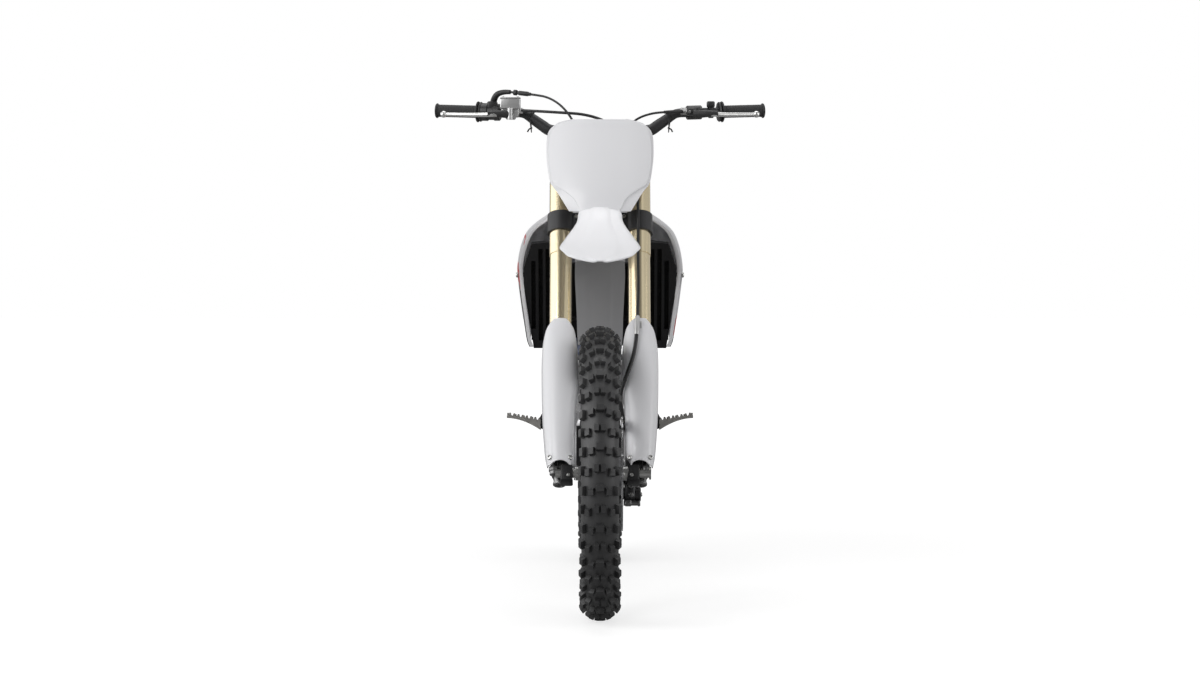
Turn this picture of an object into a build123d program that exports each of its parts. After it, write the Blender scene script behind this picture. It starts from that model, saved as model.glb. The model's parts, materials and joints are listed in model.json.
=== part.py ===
from build123d import *
import math
import os

# A full-size four-stroke motocross bike, upright on its tyres, steering straight ahead.
# Working axes: X to the rider's left, Y to the rear, Z up. Y = 0 at the front axle, Z = 0 on the ground.
# Each node is written shifted, so that its origin is the rider's place on top of the seat.
# All sizes are in millimetres.

# Wheels
FRONT_TYRE_R = 346.0
FRONT_TYRE_HALF_W = 45.0
FRONT_BEAD_R = 264.5
FRONT_RIM_HALF_W = 24.0
REAR_TYRE_R = 340.0
REAR_TYRE_HALF_W = 62.0
REAR_BEAD_R = 239.5
REAR_RIM_HALF_W = 31.0
SPOKE_R = 1.75
HUB_HOLE_R = 30.0
FLANGE_X = 33.0
FLANGE_R = 36.0
FLANGE_T = 4.0

# Axles and their running fit in the hubs
FRONT_AXLE_R = 11.0
FRONT_AXLE_BORE_R = 8.0
REAR_AXLE_R = 12.5
REAR_AXLE_BORE_R = 9.0
RUNNING_FIT = 0.05
FIXED_FIT = 0.1
SIDE_PLAY = 0.6

# Steering geometry
RAKE = math.radians(27.0)
TRAIL = 118.0
CLAMP_OFFSET = 22.0
FORK_HALF_SPACING = 95.0
FORK_TUBE_R = 27.0
FORK_CLAMP_ZONE_R = FORK_TUBE_R + 1.5
FORK_LEG_R = 24.0
FORK_TUBE_LOW = 355.0
FORK_TUBE_TOP = 913.0
CLAMP_WALL = 5.0
LOWER_CLAMP_ALONG = 671.0
LOWER_CLAMP_T = 50.0
UPPER_CLAMP_ALONG = 892.0
UPPER_CLAMP_T = 28.0
STEM_R = 15.0
HEAD_TUBE_R = 29.0
HEAD_GAP = 1.0

# Handlebar
BAR_HALF_WIDTH = 412.0
BAR_CENTRE_Y = 462.0
BAR_CENTRE_Z = 1160.0
BAR_END_Y = 524.0
BAR_END_Z = 1217.0
BAR_R = 11.1
BAR_CLAMP_R = 14.3
BAR_BEND_R = 38.0
BAR_THICK_SHARE = 0.66
POST_X = 50.0
POST_HALF_W = 16.0
GRIP_LENGTH = 110.0
GRIP_R = 16.0
GRIP_START_X = BAR_HALF_WIDTH - GRIP_LENGTH
CONTROL_ROOM = 114.0
BAR_RISE_X = GRIP_START_X - CONTROL_ROOM
BAR_BEND_X = POST_X + (BAR_RISE_X - POST_X) * 68 / 138
THROTTLE_X = GRIP_START_X - 54
MASTER_X = GRIP_START_X - 102
MASTER_W = 44.0
PERCH_X = GRIP_START_X - 88
PERCH_W = 48.0
MASTER_LEVER_X = GRIP_START_X - 80
PERCH_LEVER_X = GRIP_START_X - 62

# Chassis
SWINGARM_LENGTH = 577.6
PIVOT_Y = 905.0
PIVOT_Z = 395.0
SEAT_HEIGHT = 955.0
SEAT_LOW_Y = 985.0
PLASTIC_T = 3.0
CRANK_Y = 718.0
CRANK_Z = 405.0
SPROCKET_Y = 845.0
SPROCKET_Z = 400.0
DRIVE_PITCH_R = 33.2
DRIVEN_PITCH_R = 121.4
CHAIN_HALF_H = 5.2
CHAIN_HALF_W = 8.0
CHAIN_TYRE_GAP = 6.0
CHAIN_X = REAR_TYRE_HALF_W + CHAIN_TYRE_GAP + CHAIN_HALF_W
PLATE_IN = CHAIN_X + CHAIN_HALF_W + CHAIN_TYRE_GAP
PLATE_OUT = PLATE_IN + 14.0
SPAR_HALF_OUT = 98.0
TOOTH_DROP = 6.0
PEG_REACH = 245.0
FRONT_DISC_R = 135.0
REAR_DISC_R = 120.0
FRONT_DISC_X = 50.0
REAR_DISC_X = -70.0
DISC_T = 3.5

# Worked out from the sizes above
AHEAD = Vector(0, -math.cos(RAKE), math.sin(RAKE))
UP_FORK = Vector(0, math.sin(RAKE), math.cos(RAKE))
FRONT_AXLE = Vector(0, 0, FRONT_TYRE_R)
AXLE_LEAD = TRAIL * -math.cos(RAKE) + FRONT_TYRE_R * math.sin(RAKE) - CLAMP_OFFSET
LEG_FOOT = FRONT_AXLE - AHEAD * AXLE_LEAD
REAR_AXLE_Y = PIVOT_Y + math.sqrt(SWINGARM_LENGTH ** 2 - (PIVOT_Z - REAR_TYRE_R) ** 2)
REAR_AXLE = Vector(0, REAR_AXLE_Y, REAR_TYRE_R)
ROW_ORIGIN = Vector(0, SEAT_LOW_Y, SEAT_HEIGHT)


def write(name, shape):
    """Write one node's STEP file, moved into the bike's own frame."""
    moved = Pos(*(ROW_ORIGIN * -1)) * shape
    if len(moved.solids()) > 1:
        moved = Compound(children=list(moved.solids()))
    else:
        moved = moved.solids()[0]
    moved.label = name
    export_step(moved, os.path.join("parts", name + ".step"))


def fork_point(x, along, ahead=0.0):
    """A point by its distance up the fork from the axle's foot and ahead of the leg's axis."""
    return Vector(x, 0, 0) + LEG_FOOT + UP_FORK * along + AHEAD * ahead


def rod(start, end, radius, bore=0.0):
    """A round bar between two points, with an optional hole along it."""
    start = Vector(*start)
    end = Vector(*end)
    plane = Plane(origin=start, z_dir=end - start)
    solid = plane * Cylinder(radius, (end - start).length, align=(Align.CENTER, Align.CENTER, Align.MIN))
    if bore:
        cut = plane * Cylinder(bore, (end - start).length, align=(Align.CENTER, Align.CENTER, Align.MIN))
        solid = solid - cut
    return solid


def tube(points, radius, corner):
    """A round bar along straight runs joined by tangent arcs."""
    path = FilletPolyline(*points, radius=corner)
    section = Plane(origin=path @ 0, z_dir=path % 0) * Circle(radius)
    return sweep(section, path=path)


def slab(points, x_low, x_high, corner=0.0):
    """A plate seen from the side as the polygon of (y, z) points, between two X values."""
    face = make_face(Polyline(*points, close=True))
    if corner:
        face = fillet(face.vertices(), corner)
    return extrude(Plane.YZ.offset(x_low) * face, x_high - x_low)


def plan_slab(points, z_low, z_high):
    """A plate seen from above as the polygon of (x, y) points, between two heights."""
    face = make_face(Polyline(*points, close=True))
    return extrude(Plane.XY.offset(z_low) * face, z_high - z_low)


def fork_slab(points, x_low, x_high, corner=0.0):
    """A plate whose polygon is given as (ahead, along) points beside the fork leg."""
    face = make_face(Polyline(*points, close=True))
    if corner:
        face = fillet(face.vertices(), corner)
    plane = Plane(origin=fork_point(x_high, 0), x_dir=AHEAD, z_dir=(-1, 0, 0))
    return extrude(plane * face, x_high - x_low)


def disc_section(points, axle):
    """A solid of revolution about a wheel's axle, from (x, radius) points."""
    face = make_face(Polyline(*[(x, radius) for x, radius in points], close=True))
    solid = revolve(face, Axis.X)
    return Pos(*axle) * (Rot(90, 0, 0) * solid)


def panel(outer_rows, inner_rows):
    """A moulded panel: a smooth loft through closed sections, each an outer and an inner flat curve."""
    sections = []
    for outer, inner in zip(outer_rows, inner_rows):
        outer_line = Spline(*outer)
        inner_line = Spline(*inner)
        ends = [Line(outer_line @ 0, inner_line @ 0), Line(outer_line @ 1, inner_line @ 1)]
        sections.append(make_face([outer_line, inner_line] + ends))
    return loft(sections)


def shifted(rows, shift):
    """The rows' points moved by one vector, or by one vector for each row."""
    shifts = shift if isinstance(shift, list) else [shift] * len(rows)
    return [[Vector(*point) + Vector(*move) for point in row] for row, move in zip(rows, shifts)]


def belt(centre_a, radius_a, centre_b, radius_b):
    """The flat outline of a belt round two circles, centres as (y, z) pairs."""
    a = Vector(*centre_a)
    b = Vector(*centre_b)
    base = math.atan2(b.Y - a.Y, b.X - a.X)
    lean = math.acos((radius_a - radius_b) / (b - a).length)

    def rim_point(centre, radius, angle):
        return centre + Vector(math.cos(angle), math.sin(angle)) * radius

    upper = Line(rim_point(a, radius_a, base + lean), rim_point(b, radius_b, base + lean))
    far_end = ThreePointArc(upper @ 1, rim_point(b, radius_b, base), rim_point(b, radius_b, base - lean))
    lower = Line(far_end @ 1, rim_point(a, radius_a, base - lean))
    near_end = ThreePointArc(lower @ 1, rim_point(a, radius_a, base + math.pi), upper @ 0)
    return make_face([upper, far_end, lower, near_end])


def both_sides(shape):
    """The piece and its mirror image on the other side of the bike."""
    return [shape, mirror(shape, about=Plane.YZ)]


def together(*shapes):
    """Several solids that share a node without touching."""
    solids = []
    for shape in shapes:
        if isinstance(shape, (list, tuple)):
            for item in shape:
                solids.extend(item.solids())
        else:
            solids.extend(shape.solids())
    return Compound(children=solids)


os.makedirs("parts", exist_ok=True)


# ---------------------------------------------------------------- wheels

def tyre(axle, radius, half_width, bead_radius, rim_half):
    """A moto tyre: beads between the rim's flanges, bulged sidewalls and a round crown."""
    bead_x = rim_half - 4.3
    neck_r = bead_radius + 13.0
    widest_r = bead_radius + (radius - bead_radius) * 0.52
    shoulder_r = bead_radius + (radius - bead_radius) * 0.80
    wall = Spline((bead_x, neck_r), (half_width, widest_r), (half_width * 0.86, shoulder_r), (0, radius),
                  tangents=[(0.7, 1), (-1, 0)])
    foot = Polyline((0, radius), (0, bead_radius), (bead_x, bead_radius), (bead_x, neck_r))
    half = revolve(make_face([wall, foot]), Axis.X)
    solid = half + mirror(half, about=Plane.YZ)
    return Pos(*axle) * (Rot(90, 0, 0) * solid)


def rim(axle, bead_radius, half_width):
    """A drop-centre rim with its two flanges."""
    seat_r = bead_radius - 0.4
    inner = half_width - 4.0
    half = [(half_width, seat_r + 12), (inner, seat_r + 12), (inner, seat_r), (inner - 8, seat_r - 2),
            (inner - 11, seat_r - 10), (0, seat_r - 10)]
    under = [(0, seat_r - 16), (inner - 6, seat_r - 16), (half_width - 2, seat_r - 4)]
    outer_line = half + [(-x, r) for x, r in reversed(half[:-1])]
    under_line = [(-x, r) for x, r in reversed(under[1:])] + under
    return disc_section(outer_line + under_line, axle)


def spokes(axle, bead_radius, side_shift):
    """Thirty-six crossed spokes, half from each hub flange, half leaning each way."""
    rim_inner_r = bead_radius - 0.4 - 16 - 0.8
    cross = math.radians(60)
    solids = []
    for side in (1, -1):
        for k in range(9):
            start_turn = math.radians(40 * k + (0 if side > 0 else 10))
            outer_way = (1, FLANGE_T / 2 + SPOKE_R + 1.7, 10.0)
            inner_way = (-1, -FLANGE_T / 2 - SPOKE_R - 0.3, 5.5)
            for lean, hub_x, rim_x in (outer_way, inner_way):
                hub_turn = start_turn + (0 if lean > 0 else math.radians(20))
                rim_turn = hub_turn + lean * cross
                start = Vector(side * (FLANGE_X + hub_x), HUB_HOLE_R * math.cos(hub_turn),
                               HUB_HOLE_R * math.sin(hub_turn))
                end = Vector(side * rim_x + side_shift, rim_inner_r * math.cos(rim_turn),
                             rim_inner_r * math.sin(rim_turn))
                solids.append(rod(Vector(*axle) + start, Vector(*axle) + end, SPOKE_R))
    return Compound(children=[s.solids()[0] for s in solids])


def brake_disc(axle, x_low, radius, arm_count):
    """A wave disc: a drilled ring with a scalloped edge on slim arms."""
    ring_in = radius - 27
    carrier_out = 42.0
    face = Circle(radius) - Circle(ring_in)
    face = face + (Circle(carrier_out) - Circle(27))
    for k in range(arm_count):
        face = face + Rot(0, 0, 360 / arm_count * k) * Pos((ring_in + carrier_out) / 2, 0) * Rectangle(
            ring_in - carrier_out + 8, 13)
    scallops = 14
    for k in range(scallops):
        face = face - Rot(0, 0, 360 / scallops * (k + 0.5)) * Pos(radius + 17, 0) * Circle(20.5)
        face = face - Rot(0, 0, 360 / scallops * k) * Pos(radius - 13, 0) * Circle(4.5)
    return Pos(*axle) * Pos(x_low, 0, 0) * (Rot(0, 90, 0) * extrude(face, DISC_T))


def hub(axle, bore_r, right_x, left_x, left_seat_r, right_seat_r, right_flanged):
    """A wheel hub: barrel, two spoke flanges, and a seat for the disc or the sprocket."""
    flange_out = FLANGE_X + FLANGE_T / 2
    flange_in = FLANGE_X - FLANGE_T / 2
    left = [(flange_in, FLANGE_R), (flange_out, FLANGE_R), (flange_out, 24), (left_x - 5, 24),
            (left_x - 5, left_seat_r), (left_x, left_seat_r), (left_x, 24), (left_x + 4, 22), (left_x + 4, bore_r)]
    if right_flanged:
        right = [(right_x - 4, bore_r), (right_x - 4, 22), (right_x, 24), (right_x, right_seat_r),
                 (right_x + 5, right_seat_r), (right_x + 5, 24), (-flange_out, 24), (-flange_out, FLANGE_R),
                 (-flange_in, FLANGE_R)]
    else:
        right = [(right_x, bore_r), (right_x, 18), (right_x + 4, 22), (-flange_out, 24), (-flange_out, FLANGE_R),
                 (-flange_in, FLANGE_R)]
    barrel = [(-flange_in, 22), (flange_in, 22)]
    return disc_section(right + barrel + left, axle)


FRONT_HUB_RIGHT_X = -46.0
FRONT_HUB_LEFT_X = FRONT_DISC_X - 0.3
REAR_HUB_RIGHT_X = REAR_DISC_X + 0.3
REAR_SPROCKET_T = 6.0
REAR_HUB_LEFT_X = CHAIN_X - REAR_SPROCKET_T / 2 - 0.3

write("front_tyre", tyre(FRONT_AXLE, FRONT_TYRE_R, FRONT_TYRE_HALF_W, FRONT_BEAD_R, FRONT_RIM_HALF_W))
write("front_rim", rim(FRONT_AXLE, FRONT_BEAD_R, FRONT_RIM_HALF_W))
write("front_hub", hub(FRONT_AXLE, FRONT_AXLE_R + RUNNING_FIT, FRONT_HUB_RIGHT_X, FRONT_HUB_LEFT_X, 40, 0, False))
write("front_spokes", spokes(FRONT_AXLE, FRONT_BEAD_R, 0))
write("front_disc", brake_disc(FRONT_AXLE, FRONT_DISC_X, FRONT_DISC_R, 7))

write("rear_tyre", tyre(REAR_AXLE, REAR_TYRE_R, REAR_TYRE_HALF_W, REAR_BEAD_R, REAR_RIM_HALF_W))
write("rear_rim", rim(REAR_AXLE, REAR_BEAD_R, REAR_RIM_HALF_W))
write("rear_hub", hub(REAR_AXLE, REAR_AXLE_R + RUNNING_FIT, REAR_HUB_RIGHT_X, REAR_HUB_LEFT_X, 56, 40, True))
write("rear_spokes", spokes(REAR_AXLE, REAR_BEAD_R, 0))
write("rear_disc", brake_disc(REAR_AXLE, REAR_DISC_X - DISC_T, REAR_DISC_R, 6))

SPROCKET_TIP_R = DRIVEN_PITCH_R - TOOTH_DROP
sprocket_face = Circle(SPROCKET_TIP_R) - Circle(26)
for k in range(6):
    sprocket_face = sprocket_face - Rot(0, 0, 60 * k) * Pos(83, 0) * Circle(17)
sprocket = Rot(0, 90, 0) * extrude(sprocket_face, REAR_SPROCKET_T)
write("rear_sprocket", Pos(*REAR_AXLE) * Pos(CHAIN_X - REAR_SPROCKET_T / 2, 0, 0) * sprocket)


# ---------------------------------------------------------------- steering

# Upside-down fork: fixed outer tubes in the clamps, sliding legs with the axle lugs below.
LUG_RIGHT = (-102.0, -58.0)
LUG_LEFT = (71.0, 115.0)
LUG_OUTLINE = [(-27, 78), (27, 78), (42, 30), (AXLE_LEAD + 18, 12), (AXLE_LEAD + 18, -12), (AXLE_LEAD + 10, -22),
               (14, -24), (-27, 0)]


def fork_leg(x, lug):
    """The bright sliding tube with its cast axle lug."""
    slider = rod(fork_point(x, 30), fork_point(x, FORK_TUBE_LOW - 0.3), FORK_LEG_R)
    foot = fork_slab(LUG_OUTLINE, lug[0], lug[1], 5)
    hole = rod(FRONT_AXLE + Vector(lug[0] - 1, 0, 0), FRONT_AXLE + Vector(lug[1] + 1, 0, 0), FRONT_AXLE_R + FIXED_FIT)
    return slider + foot - hole


def fork_tube(x):
    """The gold outer tube, stepped up in diameter where the clamps hold it, with its top cap."""
    step_low = LOWER_CLAMP_ALONG - LOWER_CLAMP_T / 2 - 60
    solid = rod(fork_point(x, FORK_TUBE_LOW), fork_point(x, FORK_TUBE_TOP - 12), FORK_TUBE_R)
    solid = solid + rod(fork_point(x, step_low), fork_point(x, FORK_TUBE_TOP - 12), FORK_CLAMP_ZONE_R)
    return solid + rod(fork_point(x, FORK_TUBE_TOP - 13), fork_point(x, FORK_TUBE_TOP), FORK_TUBE_R - 4)


def clamp_plate(along, thickness, web):
    """A fork clamp: two split rings, the web between them and the stem boss behind."""
    ring_r = FORK_CLAMP_ZONE_R + CLAMP_WALL
    face = Pos(0, CLAMP_OFFSET) * Circle(STEM_R + 13) + make_face(Polyline(*web, close=True))
    for x in (-FORK_HALF_SPACING, FORK_HALF_SPACING):
        face = face + Pos(x, 0) * Circle(ring_r) - Pos(x, 0) * Circle(FORK_CLAMP_ZONE_R + FIXED_FIT)
    plane = Plane(origin=fork_point(0, along - thickness / 2), x_dir=(1, 0, 0), z_dir=UP_FORK)
    return extrude(plane * face, thickness)


write("fork_legs", together(fork_leg(FORK_HALF_SPACING, LUG_LEFT), fork_leg(-FORK_HALF_SPACING, LUG_RIGHT)))
write("fork_tubes", together(fork_tube(FORK_HALF_SPACING), fork_tube(-FORK_HALF_SPACING)))

LOWER_WEB = [(-90, -16), (90, -16), (90, 16), (28, 34), (-28, 34), (-90, 16)]
UPPER_WEB = [(-90, -12), (-40, -18), (40, -18), (90, -12), (90, 14), (30, 34), (-30, 34), (-90, 14)]
STEM_TOP = UPPER_CLAMP_ALONG + UPPER_CLAMP_T / 2
lower_clamp = clamp_plate(LOWER_CLAMP_ALONG, LOWER_CLAMP_T, LOWER_WEB)
lower_clamp = lower_clamp + rod(fork_point(0, LOWER_CLAMP_ALONG, -CLAMP_OFFSET),
                                fork_point(0, STEM_TOP + 4, -CLAMP_OFFSET), STEM_R)
write("lower_clamp", lower_clamp)

# The upper clamp carries the stem nut and two bar posts, which rise to the bar's centre.
BAR_AXIS = Vector(0, BAR_CENTRE_Y, BAR_CENTRE_Z)
upper_clamp = clamp_plate(UPPER_CLAMP_ALONG, UPPER_CLAMP_T, UPPER_WEB)
upper_clamp = upper_clamp - rod(fork_point(0, STEM_TOP - UPPER_CLAMP_T - 1, -CLAMP_OFFSET),
                                fork_point(0, STEM_TOP + 1, -CLAMP_OFFSET), STEM_R + FIXED_FIT)
bar_ahead = (BAR_AXIS - LEG_FOOT).dot(AHEAD)
bar_along = (BAR_AXIS - LEG_FOOT).dot(UP_FORK)
POST_OUTLINE = [(bar_ahead - 17, bar_along + 16), (bar_ahead + 17, bar_along + 16), (bar_ahead + 17, STEM_TOP - 10),
                (bar_ahead - 17, STEM_TOP - 10)]
for post_x in (-POST_X, POST_X):
    tube_x = math.copysign(FORK_HALF_SPACING, post_x)
    post = fork_slab(POST_OUTLINE, post_x - POST_HALF_W, post_x + POST_HALF_W)
    post = post - rod(fork_point(tube_x, STEM_TOP - 12), fork_point(tube_x, STEM_TOP + 60),
                      FORK_CLAMP_ZONE_R + FIXED_FIT)
    upper_clamp = upper_clamp + post
upper_clamp = upper_clamp - rod(BAR_AXIS - Vector(BAR_BEND_X, 0, 0), BAR_AXIS + Vector(BAR_BEND_X, 0, 0),
                                BAR_CLAMP_R + FIXED_FIT)
write("upper_clamp", upper_clamp)


# Tapered handlebar with no crossbar: level middle, two bends up, then out and back to the grips.
BAR_RISE_Z = BAR_END_Z - 8.0
BAR_RISE_Y = BAR_CENTRE_Y + 12.0
bar_route = [(BAR_HALF_WIDTH - 3, BAR_END_Y, BAR_END_Z), (BAR_RISE_X, BAR_RISE_Y, BAR_RISE_Z),
             (BAR_BEND_X, BAR_CENTRE_Y, BAR_CENTRE_Z)]
bar_route = bar_route + [(-x, y, z) for x, y, z in reversed(bar_route)]
handlebar = tube(bar_route, BAR_R, BAR_BEND_R)
bend = Vector(*bar_route[2])
thick_end = bend + (Vector(*bar_route[1]) - bend) * BAR_THICK_SHARE
thick_route = [tuple(thick_end), tuple(bend)]
thick_route = thick_route + [(-x, y, z) for x, y, z in reversed(thick_route)]
handlebar = handlebar + tube(thick_route, BAR_CLAMP_R, BAR_BEND_R)
write("handlebar", handlebar)

BAR_OUTWARD = (Vector(*bar_route[0]) - Vector(*bar_route[1])).normalized()


def bar_point(x, away=0.0):
    """A point on the bar's left outer run at a distance from the middle, and a point ahead of it."""
    start = Vector(*bar_route[1])
    return start + BAR_OUTWARD * ((x - start.X) / BAR_OUTWARD.X) + Vector(0, -away, 0)


def bar_sleeve(x_in, x_out, radius):
    """A round sleeve on the left outer run of the bar."""
    return rod(bar_point(x_in), bar_point(x_out), radius, BAR_R + FIXED_FIT)


grip = bar_sleeve(GRIP_START_X, BAR_HALF_WIDTH - 2.4, GRIP_R)
grip = grip + bar_sleeve(GRIP_START_X, GRIP_START_X + 4, GRIP_R + 9)
grip = grip + rod(bar_point(BAR_HALF_WIDTH - 2.6), bar_point(BAR_HALF_WIDTH), GRIP_R + 2.5)
write("grips", together(both_sides(grip)))

# The throttle housing is on the bike's right, the clutch perch on its left.
throttle_housing = bar_sleeve(THROTTLE_X, GRIP_START_X - 1, 21)
throttle_housing = mirror(throttle_housing, about=Plane.YZ)
write("throttle_housing", throttle_housing)


bar_room = tube(bar_route, BAR_R + FIXED_FIT, BAR_BEND_R)


def lever_perch(x_in, x_out, block):
    """A perch clamped on the left run of the bar, with a body ahead of it."""
    solid = bar_sleeve(x_in, x_out, 17)
    centre = bar_point((x_in + x_out) / 2, 34)
    body = Pos(*centre) * Box(*block)
    return solid + body - bar_room


LEVER_AHEAD = 56.0
reservoir = Pos(*bar_point(MASTER_LEVER_X, 40)) * Pos(0, 0, 22) * Box(50, 36, 22)
brake_master = lever_perch(MASTER_X, MASTER_X + MASTER_W, (52, 46, 34)) + reservoir - bar_room
write("brake_master", mirror(brake_master, about=Plane.YZ))
write("clutch_perch", lever_perch(PERCH_X, PERCH_X + PERCH_W, (46, 40, 22)))


def hand_lever(x_pivot, pivot_ahead):
    """A shorty lever: a flat blade from its pivot, sweeping out ahead of the grip to a ball end."""
    pivot = bar_point(x_pivot, pivot_ahead) + Vector(0, 0, -6)
    knee = bar_point(x_pivot + 46, LEVER_AHEAD + 22) + Vector(0, 0, -7)
    reach = bar_point(x_pivot + 110, LEVER_AHEAD + 14) + Vector(0, 0, -8)
    ball = bar_point(BAR_HALF_WIDTH - 24, LEVER_AHEAD + 8) + Vector(0, 0, -8)
    blade = tube([pivot, knee, reach, ball], 5.5, 20)
    return blade + Pos(*ball) * Sphere(8.5)


left_lever = hand_lever(PERCH_LEVER_X, LEVER_AHEAD - 1)
right_lever = mirror(hand_lever(MASTER_LEVER_X, LEVER_AHEAD + 7), about=Plane.YZ)
perch_room = lever_perch(PERCH_X, PERCH_X + PERCH_W, (46.6, 40.6, 22.6))
master_room = mirror(lever_perch(MASTER_X, MASTER_X + MASTER_W, (52.6, 46.6, 34.6)), about=Plane.YZ)
write("hand_levers", together(left_lever - perch_room, right_lever - master_room))


# Front axle, hollow, with a spacer each side of the hub.
FRONT_AXLE_REACH = 3.0
AXLE_HEAD_R = 15.0
axle_low = Vector(LUG_RIGHT[0] - FRONT_AXLE_REACH, 0, FRONT_TYRE_R)
axle_high = Vector(LUG_LEFT[1] + FRONT_AXLE_REACH + 2, 0, FRONT_TYRE_R)
front_axle = rod(axle_low, axle_high, FRONT_AXLE_R)
front_axle = front_axle + rod(Vector(LUG_LEFT[1] + 0.3, 0, FRONT_TYRE_R), axle_high, AXLE_HEAD_R)
front_axle = front_axle - rod(axle_low - Vector(1, 0, 0), axle_high + Vector(1, 0, 0), FRONT_AXLE_BORE_R)


def spacer(axle, x_low, x_high, axle_r):
    """A plain ring on an axle between the hub and its support."""
    return rod(axle + Vector(x_low, 0, 0), axle + Vector(x_high, 0, 0), axle_r + 6, axle_r + FIXED_FIT)


right_spacer = spacer(FRONT_AXLE, LUG_RIGHT[1] + 0.3, FRONT_HUB_RIGHT_X - SIDE_PLAY, FRONT_AXLE_R)
left_spacer = spacer(FRONT_AXLE, FRONT_HUB_LEFT_X + 4 + SIDE_PLAY, LUG_LEFT[0] - 0.3, FRONT_AXLE_R)
write("front_axle", together(front_axle, right_spacer, left_spacer))


def caliper(axle, disc_x, radius, turn, outward, bridge_in, bridge_out):
    """A brake caliper astride its disc: two halves joined outside the disc's edge."""
    low_x, high_x = sorted((disc_x + DISC_T / 2 - outward * bridge_in, disc_x + DISC_T / 2 + outward * bridge_out))
    body = Pos((low_x + high_x) / 2, radius - 2, 0) * Box(high_x - low_x, 44, 96)
    body = body - Pos(disc_x + DISC_T / 2, 0, 0) * (Rot(0, 90, 0) * Cylinder(radius + 5, DISC_T + 6))
    body = body - Pos((low_x + high_x) / 2, 0, 0) * (Rot(0, 90, 0) * Cylinder(radius - 30, 120))
    return Pos(*axle) * (Rot(turn, 0, 0) * body)


# Two-piston front caliper behind the left leg, on a bracket against the axle lug.
CALIPER_TURN = -22.0
BRACKET = [(44, 360), (60, 384), (88, 372), (124, 346), (126, 300), (100, 296), (60, 330), (40, 338)]
front_caliper = caliper(FRONT_AXLE, FRONT_DISC_X, FRONT_DISC_R, CALIPER_TURN, 1, 14, 50)
front_caliper = front_caliper + slab(BRACKET, 60, LUG_LEFT[0] - 0.3, 4)
write("front_caliper", front_caliper)


# Number plate ahead of the bars: (height, y at the middle, half width), swept back towards its edges.
PLATE_ROWS = [(1189, 350, 66), (1180, 345, 104), (1155, 332, 128), (1105, 305, 131.5), (1060, 282, 127),
              (1022, 264, 118), (990, 252, 94), (962, 245, 75)]
PLATE_SWEEP = 46.0
PLATE_COLUMNS = 9


def across(count):
    """Evenly spaced shares from one edge, -1, to the other, 1."""
    return [-1 + 2 * i / (count - 1) for i in range(count)]


plate_rows = [[(share * half, y + PLATE_SWEEP * (abs(share * half) / 131.5) ** 2.2, z)
               for share in across(PLATE_COLUMNS)] for z, y, half in PLATE_ROWS]
number_plate = panel(plate_rows, shifted(plate_rows, (0, PLASTIC_T, 0)))
for stay_x in (-20, 20):
    number_plate = number_plate + rod(fork_point(stay_x, UPPER_CLAMP_ALONG, 18.3),
                                      fork_point(stay_x, UPPER_CLAMP_ALONG, 100.5), 5)
write("number_plate", number_plate)

# Front fender: (y, height, half width, lift of the edges, slope angle of the surface), from its beak,
# up between the legs and under the lower clamp, to the flap behind the tyre.
FENDER_ROWS = [(-120, 846, 16, 0, 19), (-104, 851, 42, 0, 19), (-75, 860, 73, 0, 19), (-45, 869.5, 86, 1, 19),
               (-22, 878, 94.5, 1, 19), (0, 886, 91.5, 2, 20), (30, 897, 85, 0, 21), (60, 908, 79, -2, 21),
               (110, 929, 64, -3, 22), (150, 948, 55, -6, 24), (182, 965, 53, -8, 20),
               (204, 973, 51, -9, 2), (224, 966, 53, -10, -34), (248, 943, 55, -12, -46),
               (276, 914, 58, -12, -42), (330, 885, 60, -8, -26), (398, 848, 62, -4, -38),
               (440, 800, 62, 0, -56), (467, 750, 60, 0, -66), (484, 705, 58, 0, -74), (494, 665, 57, 0, -79),
               (500, 631, 55, 0, -82)]
fender_rows = []
fender_shifts = []
for y, z, half, lift, slope in FENDER_ROWS:
    normal = Vector(0, -math.sin(math.radians(slope)), math.cos(math.radians(slope)))
    centre = Vector(0, y, z)
    fender_rows.append([centre + Vector(share * half, 0, 0) + normal * (lift * share * share)
                        for share in across(PLATE_COLUMNS)])
    fender_shifts.append(normal * -PLASTIC_T)
front_fender = panel(fender_rows, shifted(fender_rows, fender_shifts))
CLAMP_UNDERSIDE = LOWER_CLAMP_ALONG - LOWER_CLAMP_T / 2
for boss_x in (-22, 22):
    front_fender = front_fender + rod(fork_point(boss_x, CLAMP_UNDERSIDE - 0.3, -4),
                                      fork_point(boss_x, CLAMP_UNDERSIDE - 18, -4), 8)
write("front_fender", front_fender)

# Fork guards: (along the leg, inner edge, outer edge, how far ahead the crown is, how far ahead the edges are).
GUARD_ROWS = [(4, 60, 125, 55, 28), (60, 59.5, 130, 55, 8), (150, 59, 137, 53, 2), (240, 52.5, 139.5, 52, 0),
              (320, 53, 139, 50, 4), (368, 60, 131, 47, 20), (398, 80, 111, 43, 37)]
GUARD_ROOM = 1.2
GUARD_INNER_ROOM = 50.0
LUG_ROOM = [(-30, 34), (-30, -40), (AXLE_LEAD + 18 + GUARD_ROOM, -40), (AXLE_LEAD + 18 + GUARD_ROOM, 34), (33, 84),
            (-30, 84)]


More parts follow.
